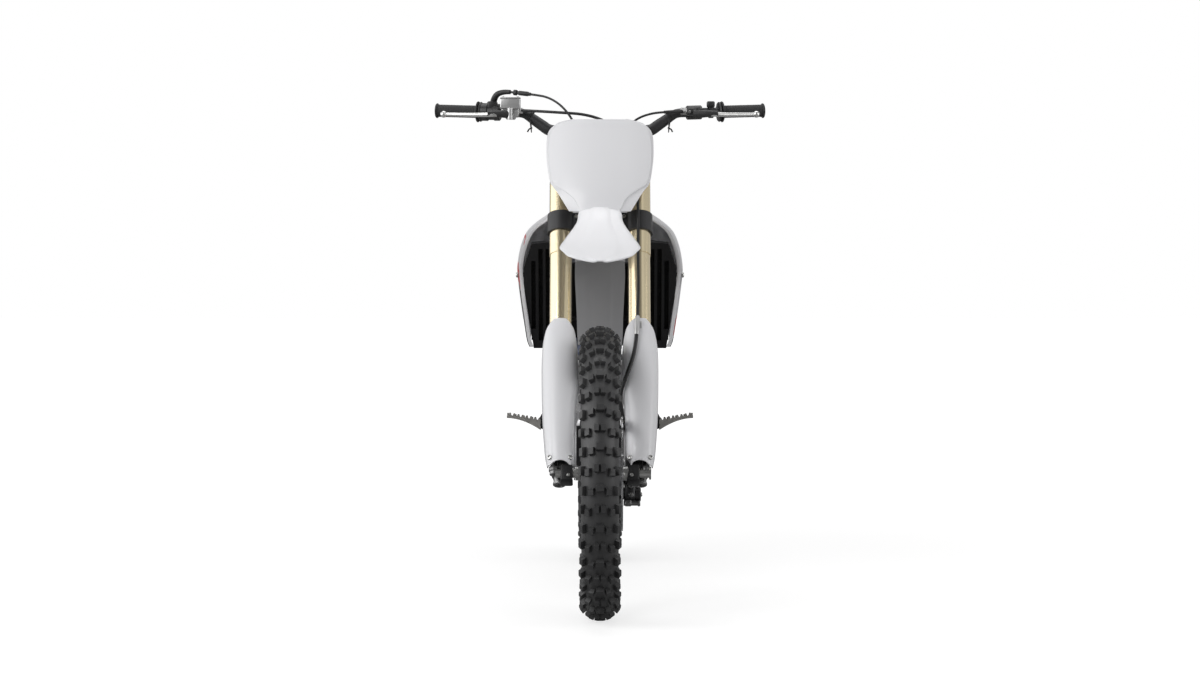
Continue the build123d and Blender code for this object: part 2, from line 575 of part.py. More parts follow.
def fork_guard(side, lug):
    """A long plastic shell over the front and outside of a fork leg, open behind and notched for the lug."""
    walls = []
    for inset in (0, PLASTIC_T):
        rows = []
        for along, inner, outer, crown, edge in GUARD_ROWS:
            half = (outer - inner) / 2 - inset
            row = []
            for share in across(PLATE_COLUMNS):
                x = (inner + outer) / 2 + half * math.sin(share * math.pi / 2)
                ahead = edge + (crown - inset - edge) * math.cos(share * math.pi / 2) ** 0.7
                row.append(fork_point(side * x, along, ahead))
            rows.append(row)
        walls.append(rows)
    shell = panel(walls[0], walls[1])
    outer_x = max(lug, key=abs) + side * GUARD_ROOM
    shell = shell - fork_slab(LUG_ROOM, *sorted((side * GUARD_INNER_ROOM, outer_x)))
    leg_x = side * FORK_HALF_SPACING
    shell = shell - rod(fork_point(leg_x, FORK_TUBE_LOW - 5), fork_point(leg_x, 450), FORK_TUBE_R + GUARD_ROOM)
    shell = shell - rod((side * 96, 0, FRONT_TYRE_R), (side * 140, 0, FRONT_TYRE_R), AXLE_HEAD_R + GUARD_ROOM)
    shell = shell.solids().sort_by(lambda piece: piece.volume)[-1]
    boss = rod(fork_point(side * 88, 8, AXLE_LEAD + 18.3), fork_point(side * 88, 8, AXLE_LEAD + 23.6), 6)
    return shell + boss


write("fork_guard_left", fork_guard(1, LUG_LEFT))
write("fork_guard_right", fork_guard(-1, LUG_RIGHT))


def cord_tube(name, points, radius):
    """A hose or cable: straight runs joined by arcs as large as the runs allow."""
    places = [Vector(*point) for point in points]
    radii = []
    for before, here, after in zip(places, places[1:], places[2:]):
        turn = math.radians((here - before).get_angle(after - here))
        radii.append(0.45 * min((here - before).length, (after - here).length) / math.tan(turn / 2))
    path = FilletPolyline(*places, radius=radii)
    solid = sweep(Plane(origin=path @ 0, z_dir=path % 0) * Circle(radius), path=path)
    fullness = solid.volume / (math.pi * radius ** 2 * path.length)
    print(name, "length", round(path.length), "tightest bend", round(min(radii), 1), "fullness", round(fullness, 3))
    return solid


HOSE_R = 3.5
CABLE_R = 2.8
BRAKE_HOSE = [(-194, 436, 1214), (-150, 414, 1211), (-96, 396, 1207), (-40, 386, 1203), (10, 376, 1188),
              (52, 364, 1158), (80, 350, 1112), (90, 330, 1058), (92, 308, 1000), (93, 281, 942),
              (92, 250, 848), (93, 213, 776), (90, 173, 718), (88, 135, 670), (80, 106, 617), (62, 90, 570),
              (46, 91, 524), (51, 93, 482), (62.5, 94, 442), (64, 122, 412), (70, 150, 378), (73, 142.3, 342.6)]
THROTTLE_CABLE = [(-266, 491, 1234.3), (-262, 478, 1254), (-238, 464, 1262), (-204, 448, 1258), (-166, 432, 1253),
                  (-128, 410, 1246), (-94, 388, 1224), (-66, 375, 1188), (-48, 368, 1136), (-42, 368, 1084),
                  (-47, 398, 1042), (-48, 440, 1015), (-44, 478, 1001), (-38, 508, 992)]
CLUTCH_CABLE = [(213.6, 444, 1212), (166, 420, 1210), (122, 404, 1205), (84, 397, 1189), (56, 390, 1154),
                (43, 380, 1104), (45, 392, 1054), (48, 436, 1018), (45, 476, 1001), (38, 508, 992)]
write("front_brake_hose", cord_tube("front_brake_hose", BRAKE_HOSE, HOSE_R))
write("throttle_cable", cord_tube("throttle_cable", THROTTLE_CABLE, CABLE_R))
write("clutch_cable", cord_tube("clutch_cable", CLUTCH_CABLE, CABLE_R))


# ---------------------------------------------------------------- frame

def bar_outline(start, end, half):
    """The four corners of a straight flat bar between two (y, z) points."""
    a = Vector(*start)
    b = Vector(*end)
    side = (b - a).normalized().rotate(Axis.Z, 90) * half
    return [tuple(corner)[:2] for corner in (a + side, b + side, b - side, a - side)]


def flared_pair(side_outline, plan_outline):
    """A left arm cut by its side view and its plan view, and its mirror image."""
    low = min(z for y, z in side_outline) - 5
    high = max(z for y, z in side_outline) + 5
    reach = max(x for x, y in plan_outline) + 5
    left = slab(side_outline, 0, reach) & plan_slab(plan_outline, low, high)
    return both_sides(left)


HEAD_LOW = LOWER_CLAMP_ALONG + LOWER_CLAMP_T / 2 + HEAD_GAP
HEAD_HIGH = UPPER_CLAMP_ALONG - UPPER_CLAMP_T / 2 - HEAD_GAP
SPAR_SIDE = [(470, 892), (470, 970), (560, 985), (680, 905), (790, 770), (880, 625), (940, 500), (948, 400),
             (930, 325), (872, 316), (868, 352), (880, 395), (872, 450), (815, 560), (720, 705), (620, 812),
             (540, 866)]
SPAR_PLAN = [(26, 462), (64, 600), (68, 780), (PLATE_IN, 862), (PLATE_IN, 960), (PLATE_OUT, 960), (PLATE_OUT, 862),
             (SPAR_HALF_OUT, 620), (52, 474), (36, 462)]
GUSSET = [(372, 958), (438, 920), (510, 880), (548, 890), (548, 978), (480, 1050), (440, 1094)]
GUSSET_HALF = 32.0
SHOCK_TOP = (775.0, 765.0)
SHOCK_FOOT = (955.0, 345.0)
PIVOT_BOLT_R = 10.0
SHOCK_BOLT_R = 8.0


def cross_bar(place, half_width, radius):
    """A round bar straight across the bike at a (y, z) place."""
    return rod((-half_width, place[0], place[1]), (half_width, place[0], place[1]), radius)


head_tube = rod(fork_point(0, HEAD_LOW, -CLAMP_OFFSET), fork_point(0, HEAD_HIGH, -CLAMP_OFFSET), HEAD_TUBE_R)
spars = flared_pair(SPAR_SIDE, SPAR_PLAN)
main_frame = head_tube + slab(GUSSET, -GUSSET_HALF, GUSSET_HALF) + spars[0] + spars[1]
main_frame = main_frame + cross_bar(SHOCK_TOP, 78, SHOCK_BOLT_R)
main_frame = main_frame - rod(fork_point(0, HEAD_LOW - 5, -CLAMP_OFFSET), fork_point(0, HEAD_HIGH + 5, -CLAMP_OFFSET),
                              STEM_R + RUNNING_FIT)
main_frame = main_frame - cross_bar((PIVOT_Y, PIVOT_Z), 130, PIVOT_BOLT_R + FIXED_FIT)
write("main_frame", main_frame)

# Down tube and the twin tubes that cradle the engine.
DOWN_TOP = (475.0, 915.0)
DOWN_FOOT = (590.0, 455.0)
DOWN_HALF_DEPTH = 22.0
DOWN_HALF_W = 24.0
CRADLE_R = 13.0
cradle = slab(bar_outline(DOWN_TOP, DOWN_FOOT, DOWN_HALF_DEPTH), -DOWN_HALF_W, DOWN_HALF_W)
cradle_route = [(14, 580, 480), (46, 600, 430), (58, 640, 340), (66, 706, 326), (66, 800, 326), (84, 876, 332)]
cradle_side = tube(cradle_route, CRADLE_R, [30, 30, 40, 60])
cradle = cradle + both_sides(cradle_side)[0] + both_sides(cradle_side)[1] - main_frame
write("cradle", cradle)

# Bolt-on subframe under the seat: two upper rails, two lower stays and their cross tubes.
RAIL_R = 10.0
RAIL_Z = SEAT_HEIGHT - 71.6 - RAIL_R
upper_rail = tube([(78, 748, 815), (70, 850, RAIL_Z), (60, 985, RAIL_Z - 0.2), (56, 1160, RAIL_Z), (54, 1240, 878.2)],
                  RAIL_R, [60, 60, 60])
stay = tube([(84, 862, 618), (76, 940, 690), (60, 1150, RAIL_Z - 4)], RAIL_R - 1, 80)
subframe = both_sides(upper_rail)[0] + both_sides(upper_rail)[1] + both_sides(stay)[0] + both_sides(stay)[1]
subframe = subframe + cross_bar((1150, RAIL_Z - 4), 58, 8) + cross_bar((1236, 876), 56, 7) - main_frame
write("subframe", subframe)

SKID = [(587.6, 424.5), (627, 334.5), (652, 312.6), (862, 312.6), (862, 308.6), (650, 308.6), (623.6, 331.5),
        (584, 423)]
write("skid_plate", slab(SKID, -60, 60))


# ---------------------------------------------------------------- engine and exhaust

CASE_OUTLINE = [(682, 353), (648, 395), (644, 455), (668, 505), (760, 520), (846, 478), (870, 432), (868, 380),
                (838, 353)]
SUMP_OUTLINE = [(694, 360), (702, 324), (820, 324), (832, 360)]
CASE_RIGHT = -84.0
CASE_LEFT = 60.0
crankcase = slab(CASE_OUTLINE, CASE_RIGHT, CASE_LEFT, 8) + slab(SUMP_OUTLINE, -42, 42)
clutch_cover = rod((CASE_RIGHT - 0.3, 792, 405), (-114, 792, 405), 60) + rod((CASE_RIGHT - 0.3, 700, 400),
                                                                            (-108, 700, 400), 50)
ignition_cover = rod((CASE_LEFT + 0.3, CRANK_Y, CRANK_Z), (96, CRANK_Y, CRANK_Z), 56)
write("engine_cases", together(crankcase, clutch_cover, ignition_cover))

BARREL = [(646, 480), (760, 490), (752, 632), (642, 626)]
HEAD = [(636, 626.5), (762, 633), (756, 722), (660, 735), (640, 700)]
barrel = slab(BARREL, -52, 52) - crankcase
cylinder_head = slab(HEAD, -60, 60, 6)
write("cylinder", together(barrel, cylinder_head))

# Header out of the front of the head, round the bike's right side and back to the silencer.
HEADER_R = 20.0
HEADER = [(-30, 631.5, 664), (-34, 603, 652), (-84, 600, 600), (-PLATE_OUT - 18, 664, 584),
          (-PLATE_OUT - 20, 770, 604), (-PLATE_OUT - 24, 900, 680), (-104, 1076.6, 733)]
header = tube(HEADER, HEADER_R, [22, 34, 50, 90, 120]) - cylinder_head
write("exhaust_header", header)
SILENCER_LOW = Vector(-104, 1079, 733.4)
SILENCER_HIGH = Vector(-104, 1425, 822)
SILENCER_R = 40.0
silencer_axis = (SILENCER_HIGH - SILENCER_LOW).normalized()
silencer = rod(SILENCER_LOW + silencer_axis * 0.3, SILENCER_LOW + silencer_axis * 40, 28)
silencer = silencer + rod(SILENCER_LOW + silencer_axis * 30, SILENCER_HIGH - silencer_axis * 30, SILENCER_R)
silencer = silencer + rod(SILENCER_HIGH - silencer_axis * 31, SILENCER_HIGH, 30)
silencer = silencer - rod(SILENCER_HIGH - silencer_axis * 60, SILENCER_HIGH + silencer_axis, 18)
write("silencer", silencer)


# ---------------------------------------------------------------- cooling and bodywork

# Two radiators beside the down tube, each with a plastic louvre ahead of it.
RADIATOR_Y = 530.0
RADIATOR_Z = 765.0
RADIATOR_TILT = 14.0
RADIATOR_IN = 80.0
RADIATOR_OUT = 172.0
RADIATOR_T = 32.0
RADIATOR_HALF_H = 122.0
LOUVRE_T = 20.0
LOUVRE_OUTLINE = [(84, -138), (166, -138), (190, 20), (190, 68), (170, 132), (84, 140)]
radiator_place = Pos(0, RADIATOR_Y, RADIATOR_Z) * Rot(RADIATOR_TILT, 0, 0)
core = Pos((RADIATOR_IN + RADIATOR_OUT) / 2, 0, 0) * Box(RADIATOR_OUT - RADIATOR_IN, RADIATOR_T, 2 * RADIATOR_HALF_H)
for tab_z in (-70, 70):
    core = core + Pos((RADIATOR_IN + DOWN_HALF_W) / 2 + 0.2, -2, tab_z) * (
        Rot(0, 90, 0) * Cylinder(5, RADIATOR_IN - DOWN_HALF_W))
write("radiators", together(both_sides(radiator_place * core)))

louvre_face = make_face(Polyline(*LOUVRE_OUTLINE, close=True))
for slot_x in (94, 112, 130, 148, 166):
    slot_half = 118 if slot_x < 160 else 88
    louvre_face = louvre_face - Pos(slot_x, 0) * Rectangle(11, 2 * slot_half)
louvre_back = -RADIATOR_T / 2 - 0.3
louvre = extrude(Plane(origin=(0, louvre_back, 0), x_dir=(1, 0, 0), z_dir=(0, -1, 0)) * louvre_face, LOUVRE_T)
write("radiator_louvres", together(both_sides(radiator_place * louvre)))

# Shrouds: at each height the front edge, the widest place and the rear edge, as (x, y) pairs.
SHROUD_ROWS = [(626, (175, 516), (177, 540), (174, 565)), (644, (181, 510), (184, 550), (178, 592)),
               (694, (188, 500), (192, 570), (166, 645)), (744, (195, 492), (199, 588), (148, 705)),
               (806, (201, 486), (206, 596), (128, 782)), (839, (200, 484), (205, 598), (118, 818)),
               (881, (190, 484), (197, 598), (108, 845)), (916, (172, 488), (182, 590), (100, 858)),
               (940, (142, 500), (158, 590), (96, 862)), (964, (104, 526), (124, 600), (92, 850))]


def shroud(side):
    """A radiator shroud: wide ahead of the rider's knees, tapering back to the seat."""
    rows = []
    for z, front, wide, rear in SHROUD_ROWS:
        middle = ((wide[0] + rear[0]) / 2 + (wide[0] - rear[0]) * 0.12, (wide[1] + rear[1]) / 2)
        entry = ((front[0] + wide[0]) / 2 + 1.0, (front[1] + wide[1]) / 2)
        rows.append([Vector(side * x, y, z) for x, y in (front, entry, wide, middle, rear)])
    solid = panel(rows, shifted(rows, (-side * PLASTIC_T, 0, 0)))
    boss = rod((side * (RADIATOR_OUT + 0.3), RADIATOR_Y - 8, 806), (side * 202.5, RADIATOR_Y - 8, 806), 6)
    return solid + boss


write("shroud_left", shroud(1))
write("shroud_right", shroud(-1))

TANK_HALF_W = 84.0
TANK_ROOM = 1.0
TANK_NARROW = 43.0
TANK_TOP = [(509.5, 988), (535, 1010), (598, 1013), (612, 966), (676, 920), (676, 909.5), (600, 960), (560, 986)]
TANK_BELLY = [(532, 1000), (596, 1005), (612, 960), (700, 902), (812, 862), (812, 812), (700, 795), (610, 862),
              (532, 950)]
tank = slab(TANK_TOP, -TANK_HALF_W, TANK_HALF_W) + slab(TANK_BELLY, -TANK_NARROW, TANK_NARROW)
tank = tank + rod((0, 572, 1000), (0, 572, 1036), 30)
tank = tank - rod(fork_point(0, HEAD_LOW - 20, -CLAMP_OFFSET), fork_point(0, HEAD_HIGH + 80, -CLAMP_OFFSET),
                  HEAD_TUBE_R + TANK_ROOM)
tank = tank - slab(GUSSET, -GUSSET_HALF - TANK_ROOM, GUSSET_HALF + TANK_ROOM)
write("fuel_tank", tank)


# Seat: at each place along it the underside, the top and the half width.
SEAT_ROWS = [(612, 986, 1014, 42), (700, 934, 988, 62), (830, 888, 963, 80), (SEAT_LOW_Y, 884, SEAT_HEIGHT, 84),
             (1130, 890, 963, 80), (1250, 926, 979, 74), (1330, 962, 990, 60)]
seat_sections = []
for y, low, high, half in SEAT_ROWS:
    plane = Plane(origin=(0, y, (low + high) / 2), x_dir=(1, 0, 0), z_dir=(0, 1, 0))
    seat_sections.append(plane * RectangleRounded(2 * half, high - low, 12))
write("seat", loft(seat_sections))

AIRBOX = [(882, 706), (882, 862), (894, 883.3), (1085, 883.3), (1100, 780), (1060, 706)]
write("airbox", slab(AIRBOX, -44, 44))

PANEL_ROWS = [(704, (147, 990), (154, 1070), (149, 1150)), (742, (151, 945), (163, 1090), (156, 1215)),
              (790, (142, 900), (163, 1090), (153, 1262)), (840, (118, 872), (146, 1080), (136, 1290)),
              (878, (96, 856), (114, 1080), (104, 1300))]


def side_panel(side):
    """A side panel below the seat, with the boss that bolts it to the subframe."""
    rows = []
    for z, front, wide, rear in PANEL_ROWS:
        rows.append([Vector(side * x, y, z) for x, y in (front, wide, rear)])
    solid = panel(rows, shifted(rows, (-side * PLASTIC_T, 0, 0)))
    boss = rod((side * 70.8, 985, RAIL_Z - 2), (side * 108, 985, RAIL_Z - 2), 6)
    return solid + boss


side_panels = together([side_panel(1), side_panel(-1)])
write("side_panels", side_panels)

# Rear fender: (y, height, half width, lift of the edges, slope angle), from under the seat to its tail.
TAIL_ROWS = [(1200, 893, 72, -6, 14), (1262, 912, 84, -10, 20), (1340, 944, 88, -14, 20), (1440, 972, 84, -12, 12),
             (1560, 988, 76, -10, 5), (1680, 990, 66, -8, -3), (1770, 982, 54, -6, -7), (1808, 976, 40, -4, -9)]
tail_rows = []
tail_shifts = []
for y, z, half, lift, slope in TAIL_ROWS:
    normal = Vector(0, -math.sin(math.radians(slope)), math.cos(math.radians(slope)))
    centre = Vector(0, y, z)
    tail_rows.append([centre + Vector(share * half, 0, 0) + normal * (lift * share * share)
                      for share in across(PLATE_COLUMNS)])
    tail_shifts.append(normal * -PLASTIC_T)
write("rear_fender", panel(tail_rows, shifted(tail_rows, tail_shifts)))


# ---------------------------------------------------------------- rear suspension, drive and controls

ARM_AXLE_HALF_IN = 96.0
ARM_AXLE_HALF_OUT = 122.0
BLOCK_Y = round(REAR_AXLE_Y)
ARM_END_Y = BLOCK_Y + 52
ARM_SIDE = [(884, 414), (905, 419), (1000, 418), (1120, 408), (1300, 386), (BLOCK_Y - 40, 370), (BLOCK_Y + 34, 362),
            (ARM_END_Y, 346), (ARM_END_Y, 328), (BLOCK_Y + 30, 318), (BLOCK_Y - 40, 314), (1300, 320), (1120, 335),
            (1000, 352), (905, 371), (884, 376)]
ARM_PLAN = [(52, 884), (52, 1030), (70, 1120), (ARM_AXLE_HALF_IN, 1250), (ARM_AXLE_HALF_IN, ARM_END_Y),
            (ARM_AXLE_HALF_OUT, ARM_END_Y), (ARM_AXLE_HALF_OUT, 1250), (102, 1140), (PLATE_IN - 4, 1030),
            (PLATE_IN - 4, 884)]
arms = flared_pair(ARM_SIDE, ARM_PLAN)
brace = slab([(1018, 352), (1018, 408), (1076, 404), (1076, 346)], -64, 64, 8)
swingarm = arms[0] + arms[1] + brace
swingarm = swingarm - cross_bar((PIVOT_Y, PIVOT_Z), 130, PIVOT_BOLT_R + FIXED_FIT)
swingarm = swingarm - cross_bar((REAR_AXLE_Y, REAR_TYRE_R), 130, REAR_AXLE_R + FIXED_FIT)
pivot_bolt = cross_bar((PIVOT_Y, PIVOT_Z), PLATE_OUT + 3, PIVOT_BOLT_R)
write("swingarm", together(swingarm, pivot_bolt))

shock_axis = Vector(0, SHOCK_FOOT[0] - SHOCK_TOP[0], SHOCK_FOOT[1] - SHOCK_TOP[1])
shock_length = shock_axis.length
shock_axis = shock_axis.normalized()


def shock_point(along):
    """A point down the shock from its upper eye."""
    return Vector(0, *SHOCK_TOP) + shock_axis * along


SPRING_R = 37.0
shock = rod(shock_point(6), shock_point(90), 26) + rod(shock_point(80), shock_point(310), SPRING_R)
shock = shock + rod(shock_point(300), shock_point(shock_length - 14), 9) + cross_bar(SHOCK_TOP, 15, 17)
shock = shock - cross_bar(SHOCK_TOP, 90, SHOCK_BOLT_R + FIXED_FIT)
shock = shock + cross_bar(SHOCK_FOOT, 14.3, 15)
LINK = [(884, 350), (900, 366), (956, 364), (1030, 334), (1034, 320), (960, 302), (900, 328)]
link = slab(LINK, -40, -14.6) + slab(LINK, 14.6, 40) + cross_bar((960, 316), 40, 7)
write("rear_shock", shock)
write("shock_linkage", link)

REAR_AXLE_REACH = 130.0
rear_axle = cross_bar((REAR_AXLE_Y, REAR_TYRE_R), REAR_AXLE_REACH, REAR_AXLE_R)
for side in (-1, 1):
    nut_in = Vector(side * (ARM_AXLE_HALF_OUT + 0.3), REAR_AXLE_Y, REAR_TYRE_R)
    rear_axle = rear_axle + rod(nut_in, Vector(side * REAR_AXLE_REACH, REAR_AXLE_Y, REAR_TYRE_R), 18)
rear_axle = rear_axle - cross_bar((REAR_AXLE_Y, REAR_TYRE_R), REAR_AXLE_REACH + 1, REAR_AXLE_BORE_R)
rear_spacer = spacer(REAR_AXLE, REAR_HUB_LEFT_X + 4 + SIDE_PLAY, ARM_AXLE_HALF_IN - 0.3, REAR_AXLE_R)
write("rear_axle", together(rear_axle, rear_spacer))

REAR_CALIPER_TURN = 150.0
rear_caliper = caliper(REAR_AXLE, REAR_DISC_X - DISC_T, REAR_DISC_R, REAR_CALIPER_TURN, -1, 13, 20)
carrier = rod((-95.7, 0, 0), (REAR_HUB_RIGHT_X - 4 - SIDE_PLAY, 0, 0), 22)
carrier_arm = Pos(-87, 50, 0) * Box(8, 100, 34)
carrier = carrier + Rot(REAR_CALIPER_TURN, 0, 0) * carrier_arm
carrier = carrier - rod((-130, 0, 0), (0, 0, 0), REAR_AXLE_R + FIXED_FIT)
write("rear_caliper", rear_caliper + Pos(*REAR_AXLE) * carrier)

drive_centre = (SPROCKET_Y, SPROCKET_Z)
driven_centre = (REAR_AXLE_Y, REAR_TYRE_R)
chain_face = belt(drive_centre, DRIVE_PITCH_R + CHAIN_HALF_H, driven_centre, DRIVEN_PITCH_R + CHAIN_HALF_H)
chain_face = chain_face - belt(drive_centre, DRIVE_PITCH_R - CHAIN_HALF_H, driven_centre,
                               DRIVEN_PITCH_R - CHAIN_HALF_H)
chain = extrude(Plane.YZ.offset(CHAIN_X - CHAIN_HALF_W) * chain_face, 2 * CHAIN_HALF_W)
drive_sprocket = rod((CHAIN_X - 3, SPROCKET_Y, SPROCKET_Z), (CHAIN_X + 3, SPROCKET_Y, SPROCKET_Z),
                     DRIVE_PITCH_R - TOOTH_DROP)
drive_sprocket = drive_sprocket + rod((CASE_LEFT + 0.3, SPROCKET_Y, SPROCKET_Z), (CHAIN_X, SPROCKET_Y, SPROCKET_Z),
                                      12)
write("drive_chain", together(chain, drive_sprocket))

# Footpegs on brackets against the frame's pivot plates, rising a little to their tips.
PEG_Y = 932.0
peg = Pos((PEG_REACH + 150) / 2, PEG_Y, 436) * (Rot(0, -3, 0) * Box(PEG_REACH - 150, 46, 16))
peg = peg + slab([(918, 386), (948, 386), (947, 444), (917, 444)], PLATE_OUT + 0.3, 156, 4)
write("footpegs", together(both_sides(peg)))

pedal = slab(bar_outline((888, 346), (744, 366), 8), -128, -120)
pedal = pedal + rod((-PLATE_OUT - 0.3, 888, 346), (-128, 888, 346), 12) + rod((-120, 744, 366), (-140, 744, 368), 11)
write("brake_pedal", pedal)
SHIFT_SHAFT = (788, 368)
shift_lever = slab(bar_outline(SHIFT_SHAFT, (668, 392), 7), 110, 117)
shift_lever = shift_lever + rod((CASE_LEFT + 0.3, *SHIFT_SHAFT), (117, *SHIFT_SHAFT), 7)
shift_lever = shift_lever + rod((110, 668, 392), (142, 668, 392), 8)
write("shift_lever", shift_lever)
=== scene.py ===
import bpy
import bmesh
import json
import math
from mathutils import Matrix, Vector


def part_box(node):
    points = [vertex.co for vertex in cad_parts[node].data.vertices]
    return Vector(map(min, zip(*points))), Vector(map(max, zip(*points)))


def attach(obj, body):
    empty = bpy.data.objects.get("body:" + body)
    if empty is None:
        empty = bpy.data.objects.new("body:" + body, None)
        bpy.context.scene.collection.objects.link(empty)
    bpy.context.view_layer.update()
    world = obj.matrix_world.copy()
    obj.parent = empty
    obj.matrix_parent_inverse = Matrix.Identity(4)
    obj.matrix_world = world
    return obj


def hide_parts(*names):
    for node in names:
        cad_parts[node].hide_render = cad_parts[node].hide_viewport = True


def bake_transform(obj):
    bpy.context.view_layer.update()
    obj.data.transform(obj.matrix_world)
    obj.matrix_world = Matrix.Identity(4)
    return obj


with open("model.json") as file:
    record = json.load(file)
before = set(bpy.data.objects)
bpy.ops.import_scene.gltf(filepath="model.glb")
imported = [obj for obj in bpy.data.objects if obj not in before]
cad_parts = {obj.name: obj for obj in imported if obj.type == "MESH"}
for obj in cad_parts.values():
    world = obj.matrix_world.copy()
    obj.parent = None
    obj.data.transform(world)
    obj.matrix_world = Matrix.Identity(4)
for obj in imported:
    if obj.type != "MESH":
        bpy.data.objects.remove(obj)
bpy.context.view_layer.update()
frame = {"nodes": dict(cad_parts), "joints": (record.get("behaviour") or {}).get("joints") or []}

# ---------------------------------------------------------------- studio
# The bike is held upright on a white sweep of painted floor, lit like a catalogue picture: one broad
# soft light high on the left of the view, weaker ones on the right, above and at the sides, in a white room.

FLOOR_SIZE = 60.0
CAMERA_AWAY = 7.5
CAMERA_HEIGHT = 0.886
CAMERA_DROP = math.radians(1.69)
CAMERA_LENS = 96.06
GLOW_NEAR = 0.72
GLOW_FAR = 1.0
ROOM_LIGHT = 0.34
MIRRORED = [(0.0, 1.5), (0.12, 1.5), (0.20, 0.28), (0.64, 0.20), (0.74, 0.62), (0.90, 0.45), (1.0, 0.70)]

tyre_low, tyre_high = (Vector(corner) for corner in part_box("front_tyre"))
GROUND = Vector((0, (tyre_low.y + tyre_high.y) / 2, tyre_low.z))


def at(x, y, z):
    """A place by metres to the rider's left, behind the front axle and above the floor."""
    return GROUND + Vector((x, y, z))


def link(tree, start, start_socket, end, end_socket):
    """Join two sockets of a node tree."""
    tree.links.new(start.outputs[start_socket], end.inputs[end_socket])


def node(tree, kind, **settings):
    """Add a node and set its properties, or its input sockets by index through a dictionary."""
    made = tree.nodes.new(kind)
    for key, value in settings.items():
        if key == "values":
            for socket, number in value.items():
                made.inputs[socket].default_value = number
        else:
            setattr(made, key, value)
    return made


def floor_paint():
    """Matt white paint that keeps the contact shadows and reads as plain white to the camera."""
    paint = bpy.data.materials.new("studio_floor")
    paint.use_nodes = True
    tree = paint.node_tree
    tree.nodes.clear()
    matt = node(tree, "ShaderNodeBsdfDiffuse", values={"Color": (0.38, 0.38, 0.38, 1)})
    glow = node(tree, "ShaderNodeEmission")
    path = node(tree, "ShaderNodeLightPath")
    place = node(tree, "ShaderNodeTexCoord")
    away = node(tree, "ShaderNodeVectorMath", operation="DISTANCE", values={1: tuple(at(0, 0.7, 0))})
    level = node(tree, "ShaderNodeMapRange", interpolation_type="SMOOTHSTEP",
                 values={"From Min": 1.2, "From Max": 5.0, "To Min": GLOW_NEAR, "To Max": GLOW_FAR})
    share = node(tree, "ShaderNodeMath", operation="MULTIPLY")
    both = node(tree, "ShaderNodeAddShader")
    out = node(tree, "ShaderNodeOutputMaterial")
    link(tree, place, "Object", away, 0)
    link(tree, away, "Value", level, "Value")
    link(tree, path, "Is Camera Ray", share, 0)
    link(tree, level, 0, share, 1)
    link(tree, share, 0, glow, "Strength")
    link(tree, matt, 0, both, 0)
    link(tree, glow, 0, both, 1)
    link(tree, both, 0, out, "Surface")
    return paint


def room():
    """A white room: dim as a light, plain white to the camera, bright at the sides in reflections."""
    world = bpy.data.worlds.new("studio_room")
    bpy.context.scene.world = world
    world.use_nodes = True
    tree = world.node_tree
    tree.nodes.clear()
    path = node(tree, "ShaderNodeLightPath")
    seen = node(tree, "ShaderNodeMath", operation="MAXIMUM")
    level = node(tree, "ShaderNodeMapRange", values={"To Min": ROOM_LIGHT, "To Max": 1.0})
    white = node(tree, "ShaderNodeBackground", values={"Color": (1, 1, 1, 1)})
    out = node(tree, "ShaderNodeOutputWorld")
    link(tree, path, "Is Camera Ray", seen, 0)
    link(tree, path, "Is Transmission Ray", seen, 1)
    way = node(tree, "ShaderNodeTexCoord")
    split = node(tree, "ShaderNodeSeparateXYZ")
    side = node(tree, "ShaderNodeMapRange", values={"From Min": -1.0, "From Max": 1.0})
    sweep = node(tree, "ShaderNodeFloatCurve")
    curve = sweep.mapping
    curve.clip_max_y = 2.0
    points = curve.curves[0].points
    while len(points) < len(MIRRORED):
        points.new(0.5, 0.5)
    for point, (share, strength) in zip(points, MIRRORED):
        point.location = (share, strength)
    curve.update()
    chosen = node(tree, "ShaderNodeMix", data_type="FLOAT")
    link(tree, seen, 0, level, "Value")
    link(tree, way, "Generated", split, 0)
    link(tree, split, "X", side, "Value")
    link(tree, side, 0, sweep, "Value")
    link(tree, path, "Is Glossy Ray", chosen, 0)
    link(tree, level, 0, chosen, 2)
    link(tree, sweep, 0, chosen, 3)
    link(tree, chosen, 0, white, "Strength")
    link(tree, white, 0, out, "Surface")


def soft_light(name, place, aim, size, watts):
    """One square softbox aimed at a place."""
    data = bpy.data.lights.new(name, "AREA")
    data.size = size
    data.energy = watts
    lamp = bpy.data.objects.new(name, data)
    lamp.location = place
    lamp.rotation_euler = (aim - place).to_track_quat("-Z", "Y").to_euler()
    bpy.context.scene.collection.objects.link(lamp)


half = FLOOR_SIZE / 2
floor_mesh = bpy.data.meshes.new("floor")
floor_mesh.from_pydata([at(-half, -half, 0), at(half, -half, 0), at(half, half, 0), at(-half, half, 0)], [],
                       [(0, 1, 2, 3)])
floor = bpy.data.objects.new("floor", floor_mesh)
floor_mesh.materials.append(floor_paint())
bpy.context.scene.collection.objects.link(floor)
room()
soft_light("key_light", at(-3.4, -3.6, 3.6), at(0, 0.5, 0.7), 3.2, 130)
soft_light("fill_light", at(3.8, -3.0, 2.4), at(0, 0.5, 0.7), 2.4, 22)
soft_light("top_light", at(0.0, 1.2, 4.2), at(0, 0.8, 0.6), 3.0, 62)
for side, name in ((-1, "left"), (1, "right")):
    soft_light("side_light_" + name, at(side * 3.6, -0.6, 1.3), at(0, 0, 0.7), 2.0, 30)

camera_data = bpy.data.cameras.new("camera")
camera_data.lens = CAMERA_LENS
camera_data.sensor_width = 36.0
camera = bpy.data.objects.new("camera", camera_data)
camera.location = at(0, -CAMERA_AWAY, CAMERA_HEIGHT)
camera.rotation_euler = (math.pi / 2 - CAMERA_DROP, 0, 0)
bpy.context.scene.collection.objects.link(camera)
bpy.context.scene.camera = camera
bpy.context.scene.view_settings.view_transform = "Standard"

